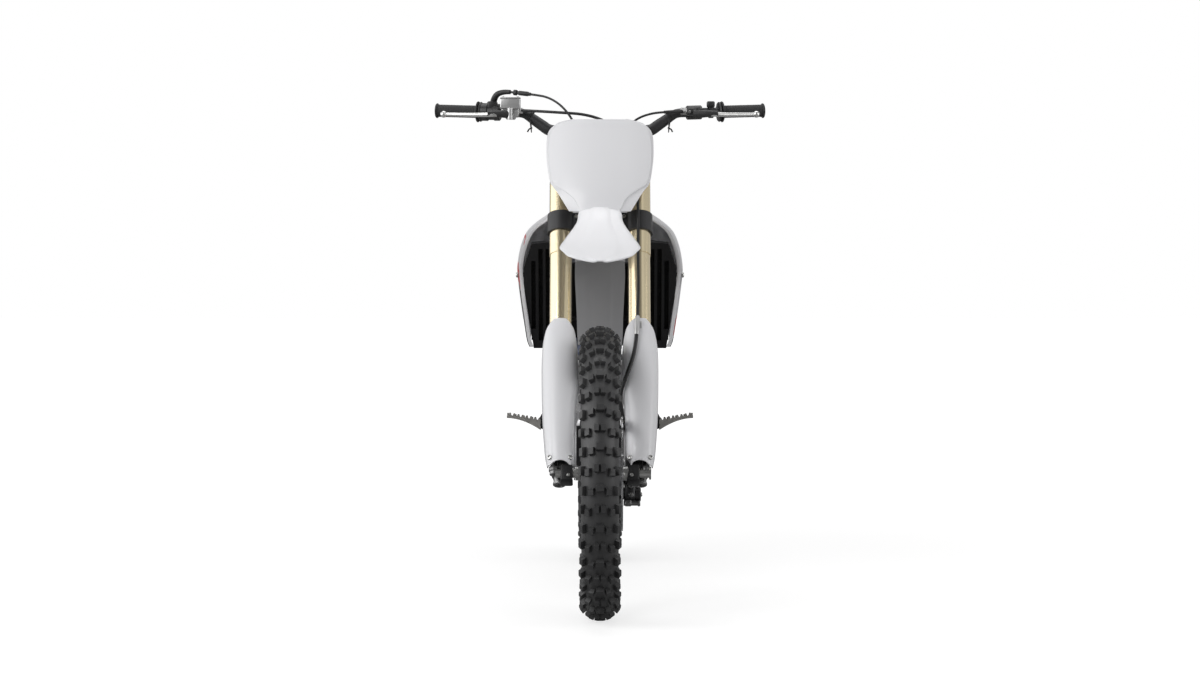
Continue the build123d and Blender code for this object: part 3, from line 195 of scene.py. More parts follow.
# ---------------------------------------------------------------- tyres
# Soft-terrain knobbly tyres: a moulded carbon-black casing with square-shouldered rubber knobs.
# The casing is one turned section; one pitch of knobs is modelled and repeated round the wheel.


def finish(name, colour, rough, metal=0.0, drift=0.10, drift_size=0.05, grain=0.15, grain_size=0.0012, coat=0.0,
           worn=0.06, shine=0.5):
    """A made surface: colour and gloss that drift a little, and a fine grain that catches the light."""
    material = bpy.data.materials.new(name)
    material.use_nodes = True
    tree = material.node_tree
    shader = tree.nodes["Principled BSDF"]
    shader.inputs["Metallic"].default_value = metal
    shader.inputs["Specular IOR Level"].default_value = shine
    shader.inputs["Coat Weight"].default_value = coat
    shader.inputs["Coat Roughness"].default_value = 0.12
    place = node(tree, "ShaderNodeTexCoord")
    clouds = node(tree, "ShaderNodeTexNoise", values={"Scale": 1 / drift_size, "Detail": 4.0, "Roughness": 0.6})
    blend = node(tree, "ShaderNodeMix", data_type="RGBA")
    blend.inputs[6].default_value = (*[part * (1 - drift) for part in colour], 1)
    blend.inputs[7].default_value = (*[min(1.0, part * (1 + drift)) for part in colour], 1)
    gloss = node(tree, "ShaderNodeMapRange", values={"From Min": 0.3, "From Max": 0.7,
                                                     "To Min": max(0.02, rough - worn), "To Max": rough + worn})
    fine = node(tree, "ShaderNodeTexNoise", values={"Scale": 1 / grain_size, "Detail": 2.0})
    bump = node(tree, "ShaderNodeBump", values={"Strength": grain, "Distance": 0.0004})
    link(tree, place, "Object", clouds, "Vector")
    link(tree, place, "Object", fine, "Vector")
    link(tree, clouds, 0, blend, 0)
    link(tree, blend, 2, shader, "Base Color")
    link(tree, clouds, 0, gloss, "Value")
    link(tree, gloss, 0, shader, "Roughness")
    link(tree, fine, 0, bump, "Height")
    link(tree, bump, 0, shader, "Normal")
    return material


def piece(name, mesh, material, smooth_angle=35.0):
    """An object for a finished mesh, shaded smooth up to an edge angle."""
    made = bpy.data.objects.new(name, mesh)
    bpy.context.scene.collection.objects.link(made)
    mesh.name = name
    mesh.materials.clear()
    mesh.materials.append(material)
    mesh.shade_smooth()
    mesh.set_sharp_from_angle(angle=math.radians(smooth_angle))
    return made


def as_mesh(bm):
    """Close a bmesh into a mesh with its faces turned outwards."""
    bmesh.ops.remove_doubles(bm, verts=bm.verts, dist=1e-6)
    bmesh.ops.recalc_face_normals(bm, faces=bm.faces)
    mesh = bpy.data.meshes.new("mesh")
    bm.to_mesh(mesh)
    bm.free()
    return mesh


def turned(profile, axle, steps):
    """A closed section of (x, radius) points turned about a wheel's axle."""
    bm = bmesh.new()
    rings = []
    for k in range(steps):
        turn = 2 * math.pi * k / steps
        rings.append([bm.verts.new(axle + Vector((x, r * math.cos(turn), r * math.sin(turn)))) for x, r in profile])
    for k in range(steps):
        here, there = rings[k], rings[(k + 1) % steps]
        for i in range(len(profile)):
            j = (i + 1) % len(profile)
            bm.faces.new((here[i], here[j], there[j], there[i]))
    return as_mesh(bm)


def settled(made):
    """Turn an object's modifiers into plain mesh."""
    graph = bpy.context.evaluated_depsgraph_get()
    mesh = bpy.data.meshes.new_from_object(made.evaluated_get(graph))
    made.modifiers.clear()
    made.data = mesh
    mesh.name = made.name
    return made


def turned_copies(made, axle, count):
    """Repeat an object's mesh evenly round a wheel's axle with a geometry tree, as one plain mesh."""
    tree = bpy.data.node_groups.new(made.name + "_round", "GeometryNodeTree")
    face = tree.interface
    face.new_socket("Geometry", in_out="INPUT", socket_type="NodeSocketGeometry")
    copies_in = face.new_socket("Copies", in_out="INPUT", socket_type="NodeSocketInt")
    axle_in = face.new_socket("Axle", in_out="INPUT", socket_type="NodeSocketVector")
    material_in = face.new_socket("Finish", in_out="INPUT", socket_type="NodeSocketMaterial")
    face.new_socket("Geometry", in_out="OUTPUT", socket_type="NodeSocketGeometry")
    given = node(tree, "NodeGroupInput")
    line = node(tree, "GeometryNodeMeshLine", mode="OFFSET", values={"Offset": (0, 0, 0)})
    index = node(tree, "GeometryNodeInputIndex")
    share = node(tree, "ShaderNodeMath", operation="DIVIDE")
    angle = node(tree, "ShaderNodeMath", operation="MULTIPLY", values={1: 2 * math.pi})
    turn = node(tree, "ShaderNodeCombineXYZ")
    to_axle = node(tree, "GeometryNodeTransform")
    back = node(tree, "ShaderNodeVectorMath", operation="SCALE")
    back.inputs["Scale"].default_value = -1
    spread = node(tree, "GeometryNodeInstanceOnPoints")
    from_axle = node(tree, "GeometryNodeTransform")
    real = node(tree, "GeometryNodeRealizeInstances")
    paint = node(tree, "GeometryNodeSetMaterial")
    result = node(tree, "NodeGroupOutput")
    link(tree, given, "Copies", line, "Count")
    link(tree, index, 0, share, 0)
    link(tree, given, "Copies", share, 1)
    link(tree, share, 0, angle, 0)
    link(tree, angle, 0, turn, "X")
    link(tree, given, "Axle", back, 0)
    link(tree, given, "Geometry", to_axle, "Geometry")
    link(tree, back, 0, to_axle, "Translation")
    link(tree, line, 0, spread, "Points")
    link(tree, to_axle, 0, spread, "Instance")
    link(tree, turn, 0, spread, "Rotation")
    link(tree, spread, 0, from_axle, "Geometry")
    link(tree, given, "Axle", from_axle, "Translation")
    link(tree, from_axle, 0, real, 0)
    link(tree, real, 0, paint, "Geometry")
    link(tree, given, "Finish", paint, "Material")
    link(tree, paint, 0, result, 0)
    modifier = made.modifiers.new("round", "NODES")
    modifier.node_group = tree
    modifier[copies_in.identifier] = count
    modifier[axle_in.identifier] = tuple(axle)
    modifier[material_in.identifier] = made.data.materials[0]
    return settled(made)


def knob(bm, tread, across, along, lean=0.0):
    """One tapered knob: across and along are its (low, high) angles on the casing and round the wheel."""
    centre_r, base_r, top_r = tread
    rings = []
    for radius, inset in ((base_r - 0.002, -0.10), (top_r - 0.0014, 0.06), (top_r, 0.16)):
        ring = []
        a_in = (across[1] - across[0]) * inset / 2
        t_in = (along[1] - along[0]) * inset / 2
        for a, t in ((across[0] + a_in, along[0] + t_in), (across[1] - a_in, along[0] + t_in),
                     (across[1] - a_in, along[1] - t_in), (across[0] + a_in, along[1] - t_in)):
            r = centre_r + radius * math.cos(a)
            turn = t + lean * abs(a)
            ring.append(bm.verts.new((radius * math.sin(a), r * math.cos(turn), r * math.sin(turn))))
        rings.append(ring)
    for low, high in zip(rings, rings[1:]):
        for i in range(4):
            bm.faces.new((low[i], low[(i + 1) % 4], high[(i + 1) % 4], high[i]))
    bm.faces.new(rings[0][::-1])
    bm.faces.new(rings[2])


def casing(axle, tread, bead_x, bead_r):
    """The tyre without its knobs: round crown, ribbed sidewalls and the beads in the rim."""
    centre_r, base_r, top_r = tread
    crown = [(base_r * math.sin(a), centre_r + base_r * math.cos(a))
             for a in (math.radians(-108 + 9 * i) for i in range(25))]
    foot = [(bead_x, bead_r + 0.014), (bead_x, bead_r + 0.0005), (-bead_x, bead_r + 0.0005), (-bead_x, bead_r + 0.014)]
    return turned(crown + foot, axle, 180)


rubber = finish("tyre_rubber", (0.030, 0.030, 0.031), 0.50, drift=0.15, drift_size=0.03, grain=0.35,
                grain_size=0.0025, worn=0.10)
casing_rubber = finish("casing_rubber", (0.040, 0.040, 0.041), 0.46, drift=0.15, drift_size=0.06, grain=0.25,
                       grain_size=0.0016)

front_axle = (tyre_low + tyre_high) / 2
FRONT_TREAD = (0.2920, 0.0425, 0.0540)
FRONT_PITCHES = 23
pitch = 2 * math.pi / FRONT_PITCHES

front_casing = piece("front_casing", casing(front_axle, FRONT_TREAD, 0.0195, 0.2645), casing_rubber)
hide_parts("front_tyre")
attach(front_casing, "front_wheel")

bm = bmesh.new()
for side in (-1, 1):
    def span(low, high):
        return sorted((side * math.radians(low), side * math.radians(high)))
    knob(bm, FRONT_TREAD, span(2.0, 15), (0.02 * pitch, 0.21 * pitch))
    knob(bm, FRONT_TREAD, span(27, 41), (0.08 * pitch, 0.27 * pitch), 0.02)
    knob(bm, FRONT_TREAD, span(16, 30), (0.57 * pitch, 0.74 * pitch), 0.03)
    knob(bm, FRONT_TREAD, span(47, 62), (0.54 * pitch, 0.78 * pitch), 0.01)
    knob(bm, FRONT_TREAD, span(53, 66), (0.06 * pitch, 0.30 * pitch))
knob(bm, FRONT_TREAD, (-math.radians(10.5), math.radians(10.5)), (0.50 * pitch, 0.68 * pitch))
front_knobs = piece("front_knobs", as_mesh(bm), rubber)
front_knobs.data.transform(Matrix.Translation(front_axle))
turned_copies(front_knobs, front_axle, FRONT_PITCHES)
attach(front_knobs, "front_wheel")

rear_low, rear_high = (Vector(corner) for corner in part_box("rear_tyre"))
rear_axle = (rear_low + rear_high) / 2
REAR_PITCHES = 20
pitch = 2 * math.pi / REAR_PITCHES
rear_casing = piece("rear_casing", casing(rear_axle, (0.2560, 0.0600, 0.0800), 0.0265, 0.2395), casing_rubber)
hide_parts("rear_tyre")
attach(rear_casing, "rear_wheel")

bm = bmesh.new()
REAR_TREAD = (0.2560, 0.0600, 0.0770)
for side in (-1, 1):
    def span(low, high):
        return sorted((side * math.radians(low), side * math.radians(high)))
    knob(bm, REAR_TREAD, span(3, 15), (0.03 * pitch, 0.22 * pitch))
    knob(bm, REAR_TREAD, span(24, 36), (0.06 * pitch, 0.26 * pitch))
    knob(bm, REAR_TREAD, span(42, 53), (0.08 * pitch, 0.32 * pitch))
    knob(bm, REAR_TREAD, span(15, 27), (0.54 * pitch, 0.73 * pitch))
    knob(bm, REAR_TREAD, span(36, 53), (0.57 * pitch, 0.80 * pitch))
knob(bm, REAR_TREAD, (-math.radians(9), math.radians(9)), (0.51 * pitch, 0.70 * pitch))
rear_knobs = piece("rear_knobs", as_mesh(bm), rubber)
rear_knobs.data.transform(Matrix.Translation(rear_axle))
turned_copies(rear_knobs, rear_axle, REAR_PITCHES)
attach(rear_knobs, "rear_wheel")

# ---------------------------------------------------------------- rims, spokes, hubs and discs
# Black anodised drop-centre rims laced with 36 crossed steel spokes to machined alloy hubs.
# Wave-cut steel discs and the rear sprocket are held on by rings of small bolts.

SPOKE_TURN = math.radians(40)


def wear(name, material):
    """Give a CAD piece its finish."""
    made = frame["nodes"][name]
    made.data.materials.clear()
    made.data.materials.append(material)


def lathe(profile, origin, axis, steps=32, closed=False):
    """A turned part: (along, radius) points about an axis; a radius of zero closes an end."""
    axis = Vector(axis).normalized()
    side = axis.orthogonal().normalized()
    other = axis.cross(side)
    origin = Vector(origin)
    bm = bmesh.new()
    rings = []
    for along, radius in profile:
        if radius == 0:
            rings.append([bm.verts.new(origin + axis * along)] * steps)
            continue
        rings.append([bm.verts.new(origin + axis * along + side * (radius * math.cos(2 * math.pi * k / steps))
                                   + other * (radius * math.sin(2 * math.pi * k / steps))) for k in range(steps)])
    pairs = list(zip(rings, rings[1:]))
    if closed:
        pairs.append((rings[-1], rings[0]))
    for low, high in pairs:
        for k in range(steps):
            corners = []
            for vert in (low[k], low[(k + 1) % steps], high[(k + 1) % steps], high[k]):
                if vert not in corners:
                    corners.append(vert)
            if len(corners) > 2:
                bm.faces.new(corners)
    return as_mesh(bm)


def set_out(name, body, places, head, material, axis="Z", pivot="AUTO"):
    """Repeat a small object: a geometry tree sets one at each (place, facing, size), its axis along facing."""
    points = bpy.data.meshes.new(name)
    points.from_pydata([place for place, facing, size in places], [], [])
    points.attributes.new("facing", "FLOAT_VECTOR", "POINT")
    points.attributes.new("size", "FLOAT", "POINT")
    for k, (place, facing, size) in enumerate(places):
        points.attributes["facing"].data[k].vector = Vector(facing).normalized()
        points.attributes["size"].data[k].value = size
    made = bpy.data.objects.new(name, points)
    bpy.context.scene.collection.objects.link(made)
    tree = bpy.data.node_groups.new(name + "_set", "GeometryNodeTree")
    tree.interface.new_socket("Geometry", in_out="INPUT", socket_type="NodeSocketGeometry")
    head_in = tree.interface.new_socket("Head", in_out="INPUT", socket_type="NodeSocketObject")
    finish_in = tree.interface.new_socket("Finish", in_out="INPUT", socket_type="NodeSocketMaterial")
    tree.interface.new_socket("Geometry", in_out="OUTPUT", socket_type="NodeSocketGeometry")
    given = node(tree, "NodeGroupInput")
    shape = node(tree, "GeometryNodeObjectInfo")
    facing = node(tree, "GeometryNodeInputNamedAttribute", data_type="FLOAT_VECTOR", values={"Name": "facing"})
    size = node(tree, "GeometryNodeInputNamedAttribute", data_type="FLOAT", values={"Name": "size"})
    aim = node(tree, "FunctionNodeAlignEulerToVector", axis=axis, pivot_axis=pivot)
    spread = node(tree, "GeometryNodeInstanceOnPoints")
    real = node(tree, "GeometryNodeRealizeInstances")
    paint = node(tree, "GeometryNodeSetMaterial")
    result = node(tree, "NodeGroupOutput")
    link(tree, given, "Head", shape, "Object")
    link(tree, facing, 0, aim, "Vector")
    link(tree, given, "Geometry", spread, "Points")
    link(tree, shape, "Geometry", spread, "Instance")
    link(tree, aim, 0, spread, "Rotation")
    link(tree, size, 0, spread, "Scale")
    link(tree, spread, 0, real, 0)
    link(tree, real, 0, paint, "Geometry")
    link(tree, given, "Finish", paint, "Material")
    link(tree, paint, 0, result, 0)
    modifier = made.modifiers.new("copies", "NODES")
    modifier.node_group = tree
    modifier[head_in.identifier] = head
    modifier[finish_in.identifier] = material
    settled(made)
    bpy.data.objects.remove(head)
    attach(made, body)
    return made


def screws(name, body, places, material):
    """Domed socket screws on a body, one at each (place, facing, radius)."""
    bm = bmesh.new()
    rings = []
    for radius, height in ((1.0, 0.0), (1.0, 0.55), (0.82, 0.85), (0.52, 0.9), (0.46, 0.35)):
        rings.append([bm.verts.new((radius * math.cos(math.pi * k / 6), radius * math.sin(math.pi * k / 6), height))
                      for k in range(12)])
    for low, high in zip(rings, rings[1:]):
        for k in range(12):
            bm.faces.new((low[k], low[(k + 1) % 12], high[(k + 1) % 12], high[k]))
    bm.faces.new(rings[-1])
    bm.faces.new(rings[0][::-1])
    return set_out(name, body, places, piece(name + "_head", as_mesh(bm), material, 30), material)


def round_places(axle, x, radius, count, size, start=0.0):
    """Screw places in a ring on a wheel, facing along the axle away from the middle."""
    facing = Vector((math.copysign(1, x), 0, 0))
    places = []
    for k in range(count):
        turn = start + 2 * math.pi * k / count
        places.append((axle + Vector((x, radius * math.cos(turn), radius * math.sin(turn))), facing, size))
    return places


black_rim = finish("rim_black", (0.020, 0.020, 0.022), 0.34, metal=0.6, drift=0.2, grain=0.08)
spoke_steel = finish("spoke_steel", (0.62, 0.62, 0.62), 0.26, metal=1.0, drift=0.08, grain=0.05)
hub_alloy = finish("hub_grey", (0.30, 0.30, 0.31), 0.38, metal=1.0, drift=0.10, grain=0.15)
disc_steel = finish("disc_steel", (0.52, 0.52, 0.53), 0.24, metal=1.0, drift=0.10, drift_size=0.015, grain=0.10,
                    grain_size=0.0006)
zinc = finish("screw_zinc", (0.48, 0.48, 0.47), 0.30, metal=1.0, drift=0.15, drift_size=0.01, grain=0.05)
dark_screw = finish("screw_black", (0.03, 0.03, 0.03), 0.40, metal=0.8, drift=0.15, drift_size=0.01, grain=0.05)
sprocket_alloy = finish("sprocket_alloy", (0.50, 0.50, 0.51), 0.34, metal=1.0, drift=0.10, grain=0.12)
for wheel in ("front", "rear"):
    wear(wheel + "_rim", black_rim)
    wear(wheel + "_spokes", spoke_steel)
    wear(wheel + "_hub", hub_alloy)
    wear(wheel + "_disc", disc_steel)


def nipples(name, body, axle, rim_r):
    """The 36 spoke nipples in the rim: four are turned, then repeated nine times round."""
    bm = bmesh.new()
    for side in (-1, 1):
        for lean, rim_x in ((1, 0.010), (-1, 0.0055)):
            turn = (0 if side > 0 else math.radians(10)) + (0 if lean > 0 else math.radians(20))
            turn = turn + lean * math.radians(60)
            out = Vector((0, math.cos(turn), math.sin(turn)))
            foot = axle + Vector((side * rim_x, 0, 0)) + out * (rim_r - 0.013)
            part = lathe([(0, 0), (0, 0.0026), (0.009, 0.0030), (0.014, 0.0036), (0.014, 0)], foot, out, 10)
            bm.from_mesh(part)
    made = piece(name, as_mesh(bm), zinc)
    turned_copies(made, axle, 9)
    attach(made, body)


nipples("front_nipples", "front_wheel", front_axle, 0.2475)
nipples("rear_nipples", "rear_wheel", rear_axle, 0.2225)
screws("front_disc_screws", "front_wheel", round_places(front_axle, 0.0537, 0.034, 6, 0.0042), zinc)
screws("rear_disc_screws", "rear_wheel", round_places(rear_axle, -0.0737, 0.034, 6, 0.0042), zinc)
screws("sprocket_screws", "rear_wheel", round_places(rear_axle, 0.0795, 0.047, 6, 0.0055), zinc)

# The sprocket's teeth stand in the chain, so the toothed blank is turned here and the CAD blank hidden.
SPROCKET_TEETH = 48
SPROCKET_HOLES = 6
SPROCKET_X = (0.0735, 0.0785)
bm = bmesh.new()
rim_steps = SPROCKET_TEETH * 4
for x in SPROCKET_X:
    for k in range(rim_steps):
        turn = 2 * math.pi * k / rim_steps
        radius = 0.1165 if k % 4 in (0, 1) else 0.1120
        bm.verts.new(rear_axle + Vector((x, radius * math.cos(turn), radius * math.sin(turn))))
for x in SPROCKET_X:
    for k in range(rim_steps):
        turn = 2 * math.pi * k / rim_steps
        inner = 0.0985 + 0.0035 * math.cos(SPROCKET_HOLES * turn)
        bm.verts.new(rear_axle + Vector((x, inner * math.cos(turn), inner * math.sin(turn))))
bm.verts.ensure_lookup_table()
n = rim_steps
for k in range(n):
    j = (k + 1) % n
    bm.faces.new((bm.verts[k], bm.verts[j], bm.verts[n + j], bm.verts[n + k]))
    bm.faces.new((bm.verts[2 * n + k], bm.verts[2 * n + j], bm.verts[3 * n + j], bm.verts[3 * n + k]))
    bm.faces.new((bm.verts[k], bm.verts[j], bm.verts[2 * n + j], bm.verts[2 * n + k]))
    bm.faces.new((bm.verts[n + k], bm.verts[n + j], bm.verts[3 * n + j], bm.verts[3 * n + k]))
for k in range(SPROCKET_HOLES):
    turn = 2 * math.pi * (k + 0.5) / SPROCKET_HOLES
    out = Vector((0, math.cos(turn), math.sin(turn)))
    along = Vector((0, -math.sin(turn), math.cos(turn)))
    corners = []
    for x in SPROCKET_X:
        for r, w in ((0.043, 0.012), (0.070, 0.008), (0.101, 0.013)):
            corners.append(bm.verts.new(rear_axle + Vector((x, 0, 0)) + out * r + along * w))
            corners.append(bm.verts.new(rear_axle + Vector((x, 0, 0)) + out * r - along * w))
    for i in (0, 2):
        bm.faces.new((corners[i], corners[i + 1], corners[i + 3], corners[i + 2]))
        bm.faces.new((corners[i + 6], corners[i + 7], corners[i + 9], corners[i + 8]))
        bm.faces.new((corners[i], corners[i + 2], corners[i + 8], corners[i + 6]))
        bm.faces.new((corners[i + 1], corners[i + 3], corners[i + 9], corners[i + 7]))
sprocket = piece("sprocket", as_mesh(bm), sprocket_alloy, 30)
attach(sprocket, "rear_wheel")
ring = piece("sprocket_centre", lathe([(-0.0025, 0.0262), (0.0025, 0.0262), (0.0025, 0.0540), (-0.0025, 0.0540)],
                                      rear_axle + Vector((0.076, 0, 0)), (1, 0, 0), 72, True), sprocket_alloy)
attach(ring, "rear_wheel")
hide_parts("rear_sprocket")

# ---------------------------------------------------------------- fork and clamps
# Upside-down fork: gold anodised outer tubes held in two black forged clamps, hard-chromed sliders
# below, and cast lugs for the axle, painted black and pinched by small bolts.

steer = next(joint for joint in frame["joints"] if joint["name"] == "steering_turn")
UP_FORK = Vector(steer["axis"]).normalized()
UP_FORK = UP_FORK if UP_FORK.z > 0 else -UP_FORK
AHEAD = Vector((1, 0, 0)).cross(UP_FORK) * -1
AHEAD = AHEAD if AHEAD.y < 0 else -AHEAD
AXLE_LEAD = 0.0299
FORK_SPACING = 0.095
fork_foot = front_axle - AHEAD * AXLE_LEAD


FORK_LOW = 0.355
FORK_TURN = Matrix.Rotation(-math.atan2(UP_FORK.y, UP_FORK.z), 3, "X")


def on_fork(x, along, ahead=0.0):
    """A place by its distance up the fork from the axle and ahead of the legs' axis."""
    return fork_foot + Vector((x, 0, 0)) + UP_FORK * along + AHEAD * ahead


def joined(meshes):
    """Several meshes as one."""
    bm = bmesh.new()
    for mesh in meshes:
        bm.from_mesh(mesh)
    mesh = bpy.data.meshes.new("mesh")
    bm.to_mesh(mesh)
    bm.free()
    return mesh


def block(centre, size, corner=0.002, turn=None):
    """A cast block with softened edges."""
    bm = bmesh.new()
    bmesh.ops.create_cube(bm, size=1.0)
    bmesh.ops.scale(bm, vec=size, verts=bm.verts)
    bmesh.ops.bevel(bm, geom=bm.edges[:], offset=corner, segments=3, profile=0.5, affect="EDGES")
    if turn:
        bmesh.ops.rotate(bm, matrix=turn, verts=bm.verts)
    bmesh.ops.translate(bm, vec=centre, verts=bm.verts)
    return as_mesh(bm)


gold = finish("fork_gold", (0.88, 0.76, 0.52), 0.22, metal=1.0, drift=0.01, drift_size=0.12, grain=0.03, worn=0.015)
slider = finish("fork_chrome", (0.75, 0.75, 0.76), 0.12, metal=1.0, drift=0.04, drift_size=0.05, grain=0.02, worn=0.03)
lug_black = finish("lug_black", (0.012, 0.012, 0.013), 0.45, drift=0.10, grain=0.20, grain_size=0.0009, shine=0.35)
lug_grey = finish("lug_grey", (0.20, 0.20, 0.20), 0.38, metal=0.9, drift=0.10, drift_size=0.02, grain=0.15)
clamp_black = finish("clamp_black", (0.035, 0.035, 0.037), 0.42, metal=0.3, drift=0.12, grain=0.22, grain_size=0.0009)
wear("fork_tubes", gold)
wear("lower_clamp", clamp_black)
wear("upper_clamp", clamp_black)

clamp_screws = []
for side in (-1, 1):
    for along in (0.657, 0.685, 0.892):
        clamp_screws.append((on_fork(side * 0.058, along, 0.0170), AHEAD, 0.0050))
    clamp_screws.append((on_fork(side * 0.074, -0.012, 0.0475), AHEAD, 0.0045))
screws("clamp_screws", "steering", clamp_screws, zinc)

for side in (-1, 1):
    cap = lathe([(-0.004, 0.0), (-0.004, 0.0225), (0.006, 0.0225), (0.008, 0.0200), (0.008, 0.0085), (0.003, 0.0080),
                 (0.003, 0.0)], on_fork(side * FORK_SPACING, 0.9125), UP_FORK, 36)
    made = piece("fork_cap_" + ("left" if side > 0 else "right"), cap, clamp_black, 30)
    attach(made, "steering")
    lower = lathe([(0.0, 0.0275), (0.002, 0.0290), (0.012, 0.0290), (0.014, 0.0275), (0.014, 0.0245), (0.0, 0.0245)],
                  on_fork(side * FORK_SPACING, 0.3545), UP_FORK, 40, True)
    made = piece("fork_seal_" + ("left" if side > 0 else "right"), lower, clamp_black, 30)
    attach(made, "steering")

# Each lug is a cast sleeve round the slider's foot with a black pinch block ahead of it for the axle,
# a grey collar beside the block, and the fork's bottom bolt with its hexagon socket.
for side, label in ((-1, "right"), (1, "left")):
    tube = lathe([(0.066, 0.0), (0.066, 0.0240), (FORK_LOW, 0.0240), (FORK_LOW, 0.0)], on_fork(side * FORK_SPACING, 0),
                 UP_FORK, 48)
    made = piece("fork_slider_" + label, tube, slider, 30)
    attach(made, "steering")
    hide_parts("fork_legs")
    foot = lathe([(-0.004, 0.0), (-0.004, 0.0150), (0.004, 0.0190), (0.030, 0.0215), (0.056, 0.0270), (0.078, 0.0280),
                  (0.080, 0.0255), (0.080, 0.0)], on_fork(side * FORK_SPACING, 0), UP_FORK, 40)
    pinch = block(on_fork(side * 0.0785, -0.004, 0.0270), (0.0280, 0.0400, 0.0400), 0.003, FORK_TURN)
    web = block(on_fork(side * 0.0860, 0.036, 0.0200), (0.0300, 0.0300, 0.0600), 0.006, FORK_TURN)
    lip = block(on_fork(side * 0.0785, -0.022, 0.0270), (0.0300, 0.0300, 0.0050), 0.002, FORK_TURN)
    made = piece("axle_lug_" + label, joined([foot, pinch, web, lip]), lug_black, 30)
    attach(made, "steering")
    collar = lathe([(0.013, 0.0), (0.013, 0.0115), (0.010, 0.0125), (0.003, 0.0125), (0.001, 0.0105), (-0.006, 0.0105),
                    (-0.006, 0.0)], on_fork(side * 0.1080, 0.002, 0.0300), UP_FORK, 28)
    barrel = lathe([(0.002, 0.0), (0.002, 0.0140), (-0.014, 0.0140), (-0.014, 0.0155), (-0.0185, 0.0155),
                    (-0.0200, 0.0140), (-0.0200, 0.0095), (-0.0185, 0.0090), (-0.0185, 0.0045), (-0.0150, 0.0040),
                    (-0.0150, 0.0)], on_fork(side * 0.0955, 0, 0.0030), UP_FORK, 36)
    made = piece("lug_fittings_" + label, joined([collar, barrel]), lug_grey, 30)
    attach(made, "steering")

stem_nut = lathe([(-0.002, 0.0), (-0.002, 0.0155), (0.006, 0.0155), (0.008, 0.0135), (0.008, 0.0070), (0.001, 0.0065),
                  (0.001, 0.0)], on_fork(0, 0.9105, -0.022), UP_FORK, 6)
made = piece("stem_nut", stem_nut, zinc, 25)
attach(made, "steering")

# ---------------------------------------------------------------- handlebar, grips and controls
# A tapered alloy bar in matt black, in two clamped posts. Soft ribbed grips are slid on, and the
# forged levers pivot in a cast perch on the left and a bright master cylinder on the right.

UP = Vector((0, 0, 1))
FRONT = Vector((0, -1, 0))
BAR_END = at(0.409, 0.524, 1.217)
BAR_RISE = at(0.188, 0.474, 1.209)
BAR_OUT = (BAR_END - BAR_RISE).normalized()


def on_bar(x, ahead=0.0, up=0.0, side=1):
    """A place on the left outer run of the bar, or on its mirror image."""
    place = BAR_RISE + BAR_OUT * ((x - BAR_RISE.x) / BAR_OUT.x) + Vector((0, -ahead, up))
    return Vector((side * place.x, place.y, place.z))


def mirrored(mesh):
    """The same mesh on the other side of the bike."""
    mesh = mesh.copy()
    mesh.transform(Matrix.Scale(-1, 4, (1, 0, 0)))
    mesh.flip_normals()
    return mesh


def limb(points, sizes, hint, sides=12):
    """A forged bar: oval sections (half width, half height) along a path, closed and rounded at both ends."""
    bm = bmesh.new()
    rings = []
    for k, point in enumerate(points):
        ahead = points[min(k + 1, len(points) - 1)] - points[max(k - 1, 0)]
        ahead.normalize()
        side = ahead.cross(hint).normalized()
        up = side.cross(ahead)
        wide, high = sizes[k]
        rings.append([bm.verts.new(point + side * (wide * math.cos(2 * math.pi * i / sides))
                                   + up * (high * math.sin(2 * math.pi * i / sides))) for i in range(sides)])
    for low, high in zip(rings, rings[1:]):
        for i in range(sides):
            bm.faces.new((low[i], low[(i + 1) % sides], high[(i + 1) % sides], high[i]))
    bm.faces.new(rings[0][::-1])
    bm.faces.new(rings[-1])
    return as_mesh(bm)


def through(points, count):
    """Places spread evenly along a smooth curve that passes through the given ones."""
    points = [Vector(point) for point in points]
    ends = [points[0] * 2 - points[1]] + points + [points[-1] * 2 - points[-2]]
    made = []
    for k in range(count):
        share = k / (count - 1) * (len(points) - 1)
        i = min(int(share), len(points) - 2)
        t = share - i
        a, b, c, d = ends[i:i + 4]
        made.append(0.5 * ((2 * b) + (c - a) * t + (2 * a - 5 * b + 4 * c - d) * t * t
                           + (3 * b - a - 3 * c + d) * t ** 3))
    return made


bar_black = finish("bar_black", (0.028, 0.028, 0.030), 0.46, metal=0.2, drift=0.12, grain=0.25, grain_size=0.0008)
grip_rubber = finish("grip_rubber", (0.026, 0.026, 0.027), 0.72, drift=0.15, grain=0.35, grain_size=0.0012)
lever_silver = finish("lever_silver", (0.66, 0.66, 0.65), 0.30, metal=1.0, drift=0.03, grain=0.03, worn=0.02)
cast_silver = finish("master_silver", (0.56, 0.56, 0.56), 0.40, metal=0.85, drift=0.04, grain=0.08, grain_size=0.0012,
                     worn=0.03)
control_black = finish("control_black", (0.024, 0.024, 0.025), 0.42, drift=0.12, grain=0.22, grain_size=0.0010)
BAR_CENTRE = at(0, 0.462, 1.160)
BAR_BEND = at(0.118, 0.462, 1.160)
RISING = BAR_RISE - BAR_BEND
half_bar = [(BAR_CENTRE, 0.0142), (at(0.050, 0.462, 1.160), 0.0142), (at(0.092, 0.462, 1.160), 0.0142),
            (at(0.105, 0.462, 1.1615), 0.0142), (BAR_BEND + Vector((-0.0015, 0.001, 0.0045)), 0.0142),
            (BAR_BEND + RISING * 0.16, 0.0141), (BAR_BEND + RISING * 0.36, 0.0139), (BAR_BEND + RISING * 0.60, 0.0132),
            (BAR_BEND + RISING * 0.82, 0.0120), (BAR_RISE - Vector((0.0015, 0, 0.0025)), 0.0113),
            (BAR_RISE + BAR_OUT * 0.012, 0.0111), (BAR_RISE + BAR_OUT * 0.040, 0.0111), (BAR_END, 0.0111)]
bar_line = [(Vector((-place.x, place.y, place.z)), radius) for place, radius in reversed(half_bar[1:])] + half_bar
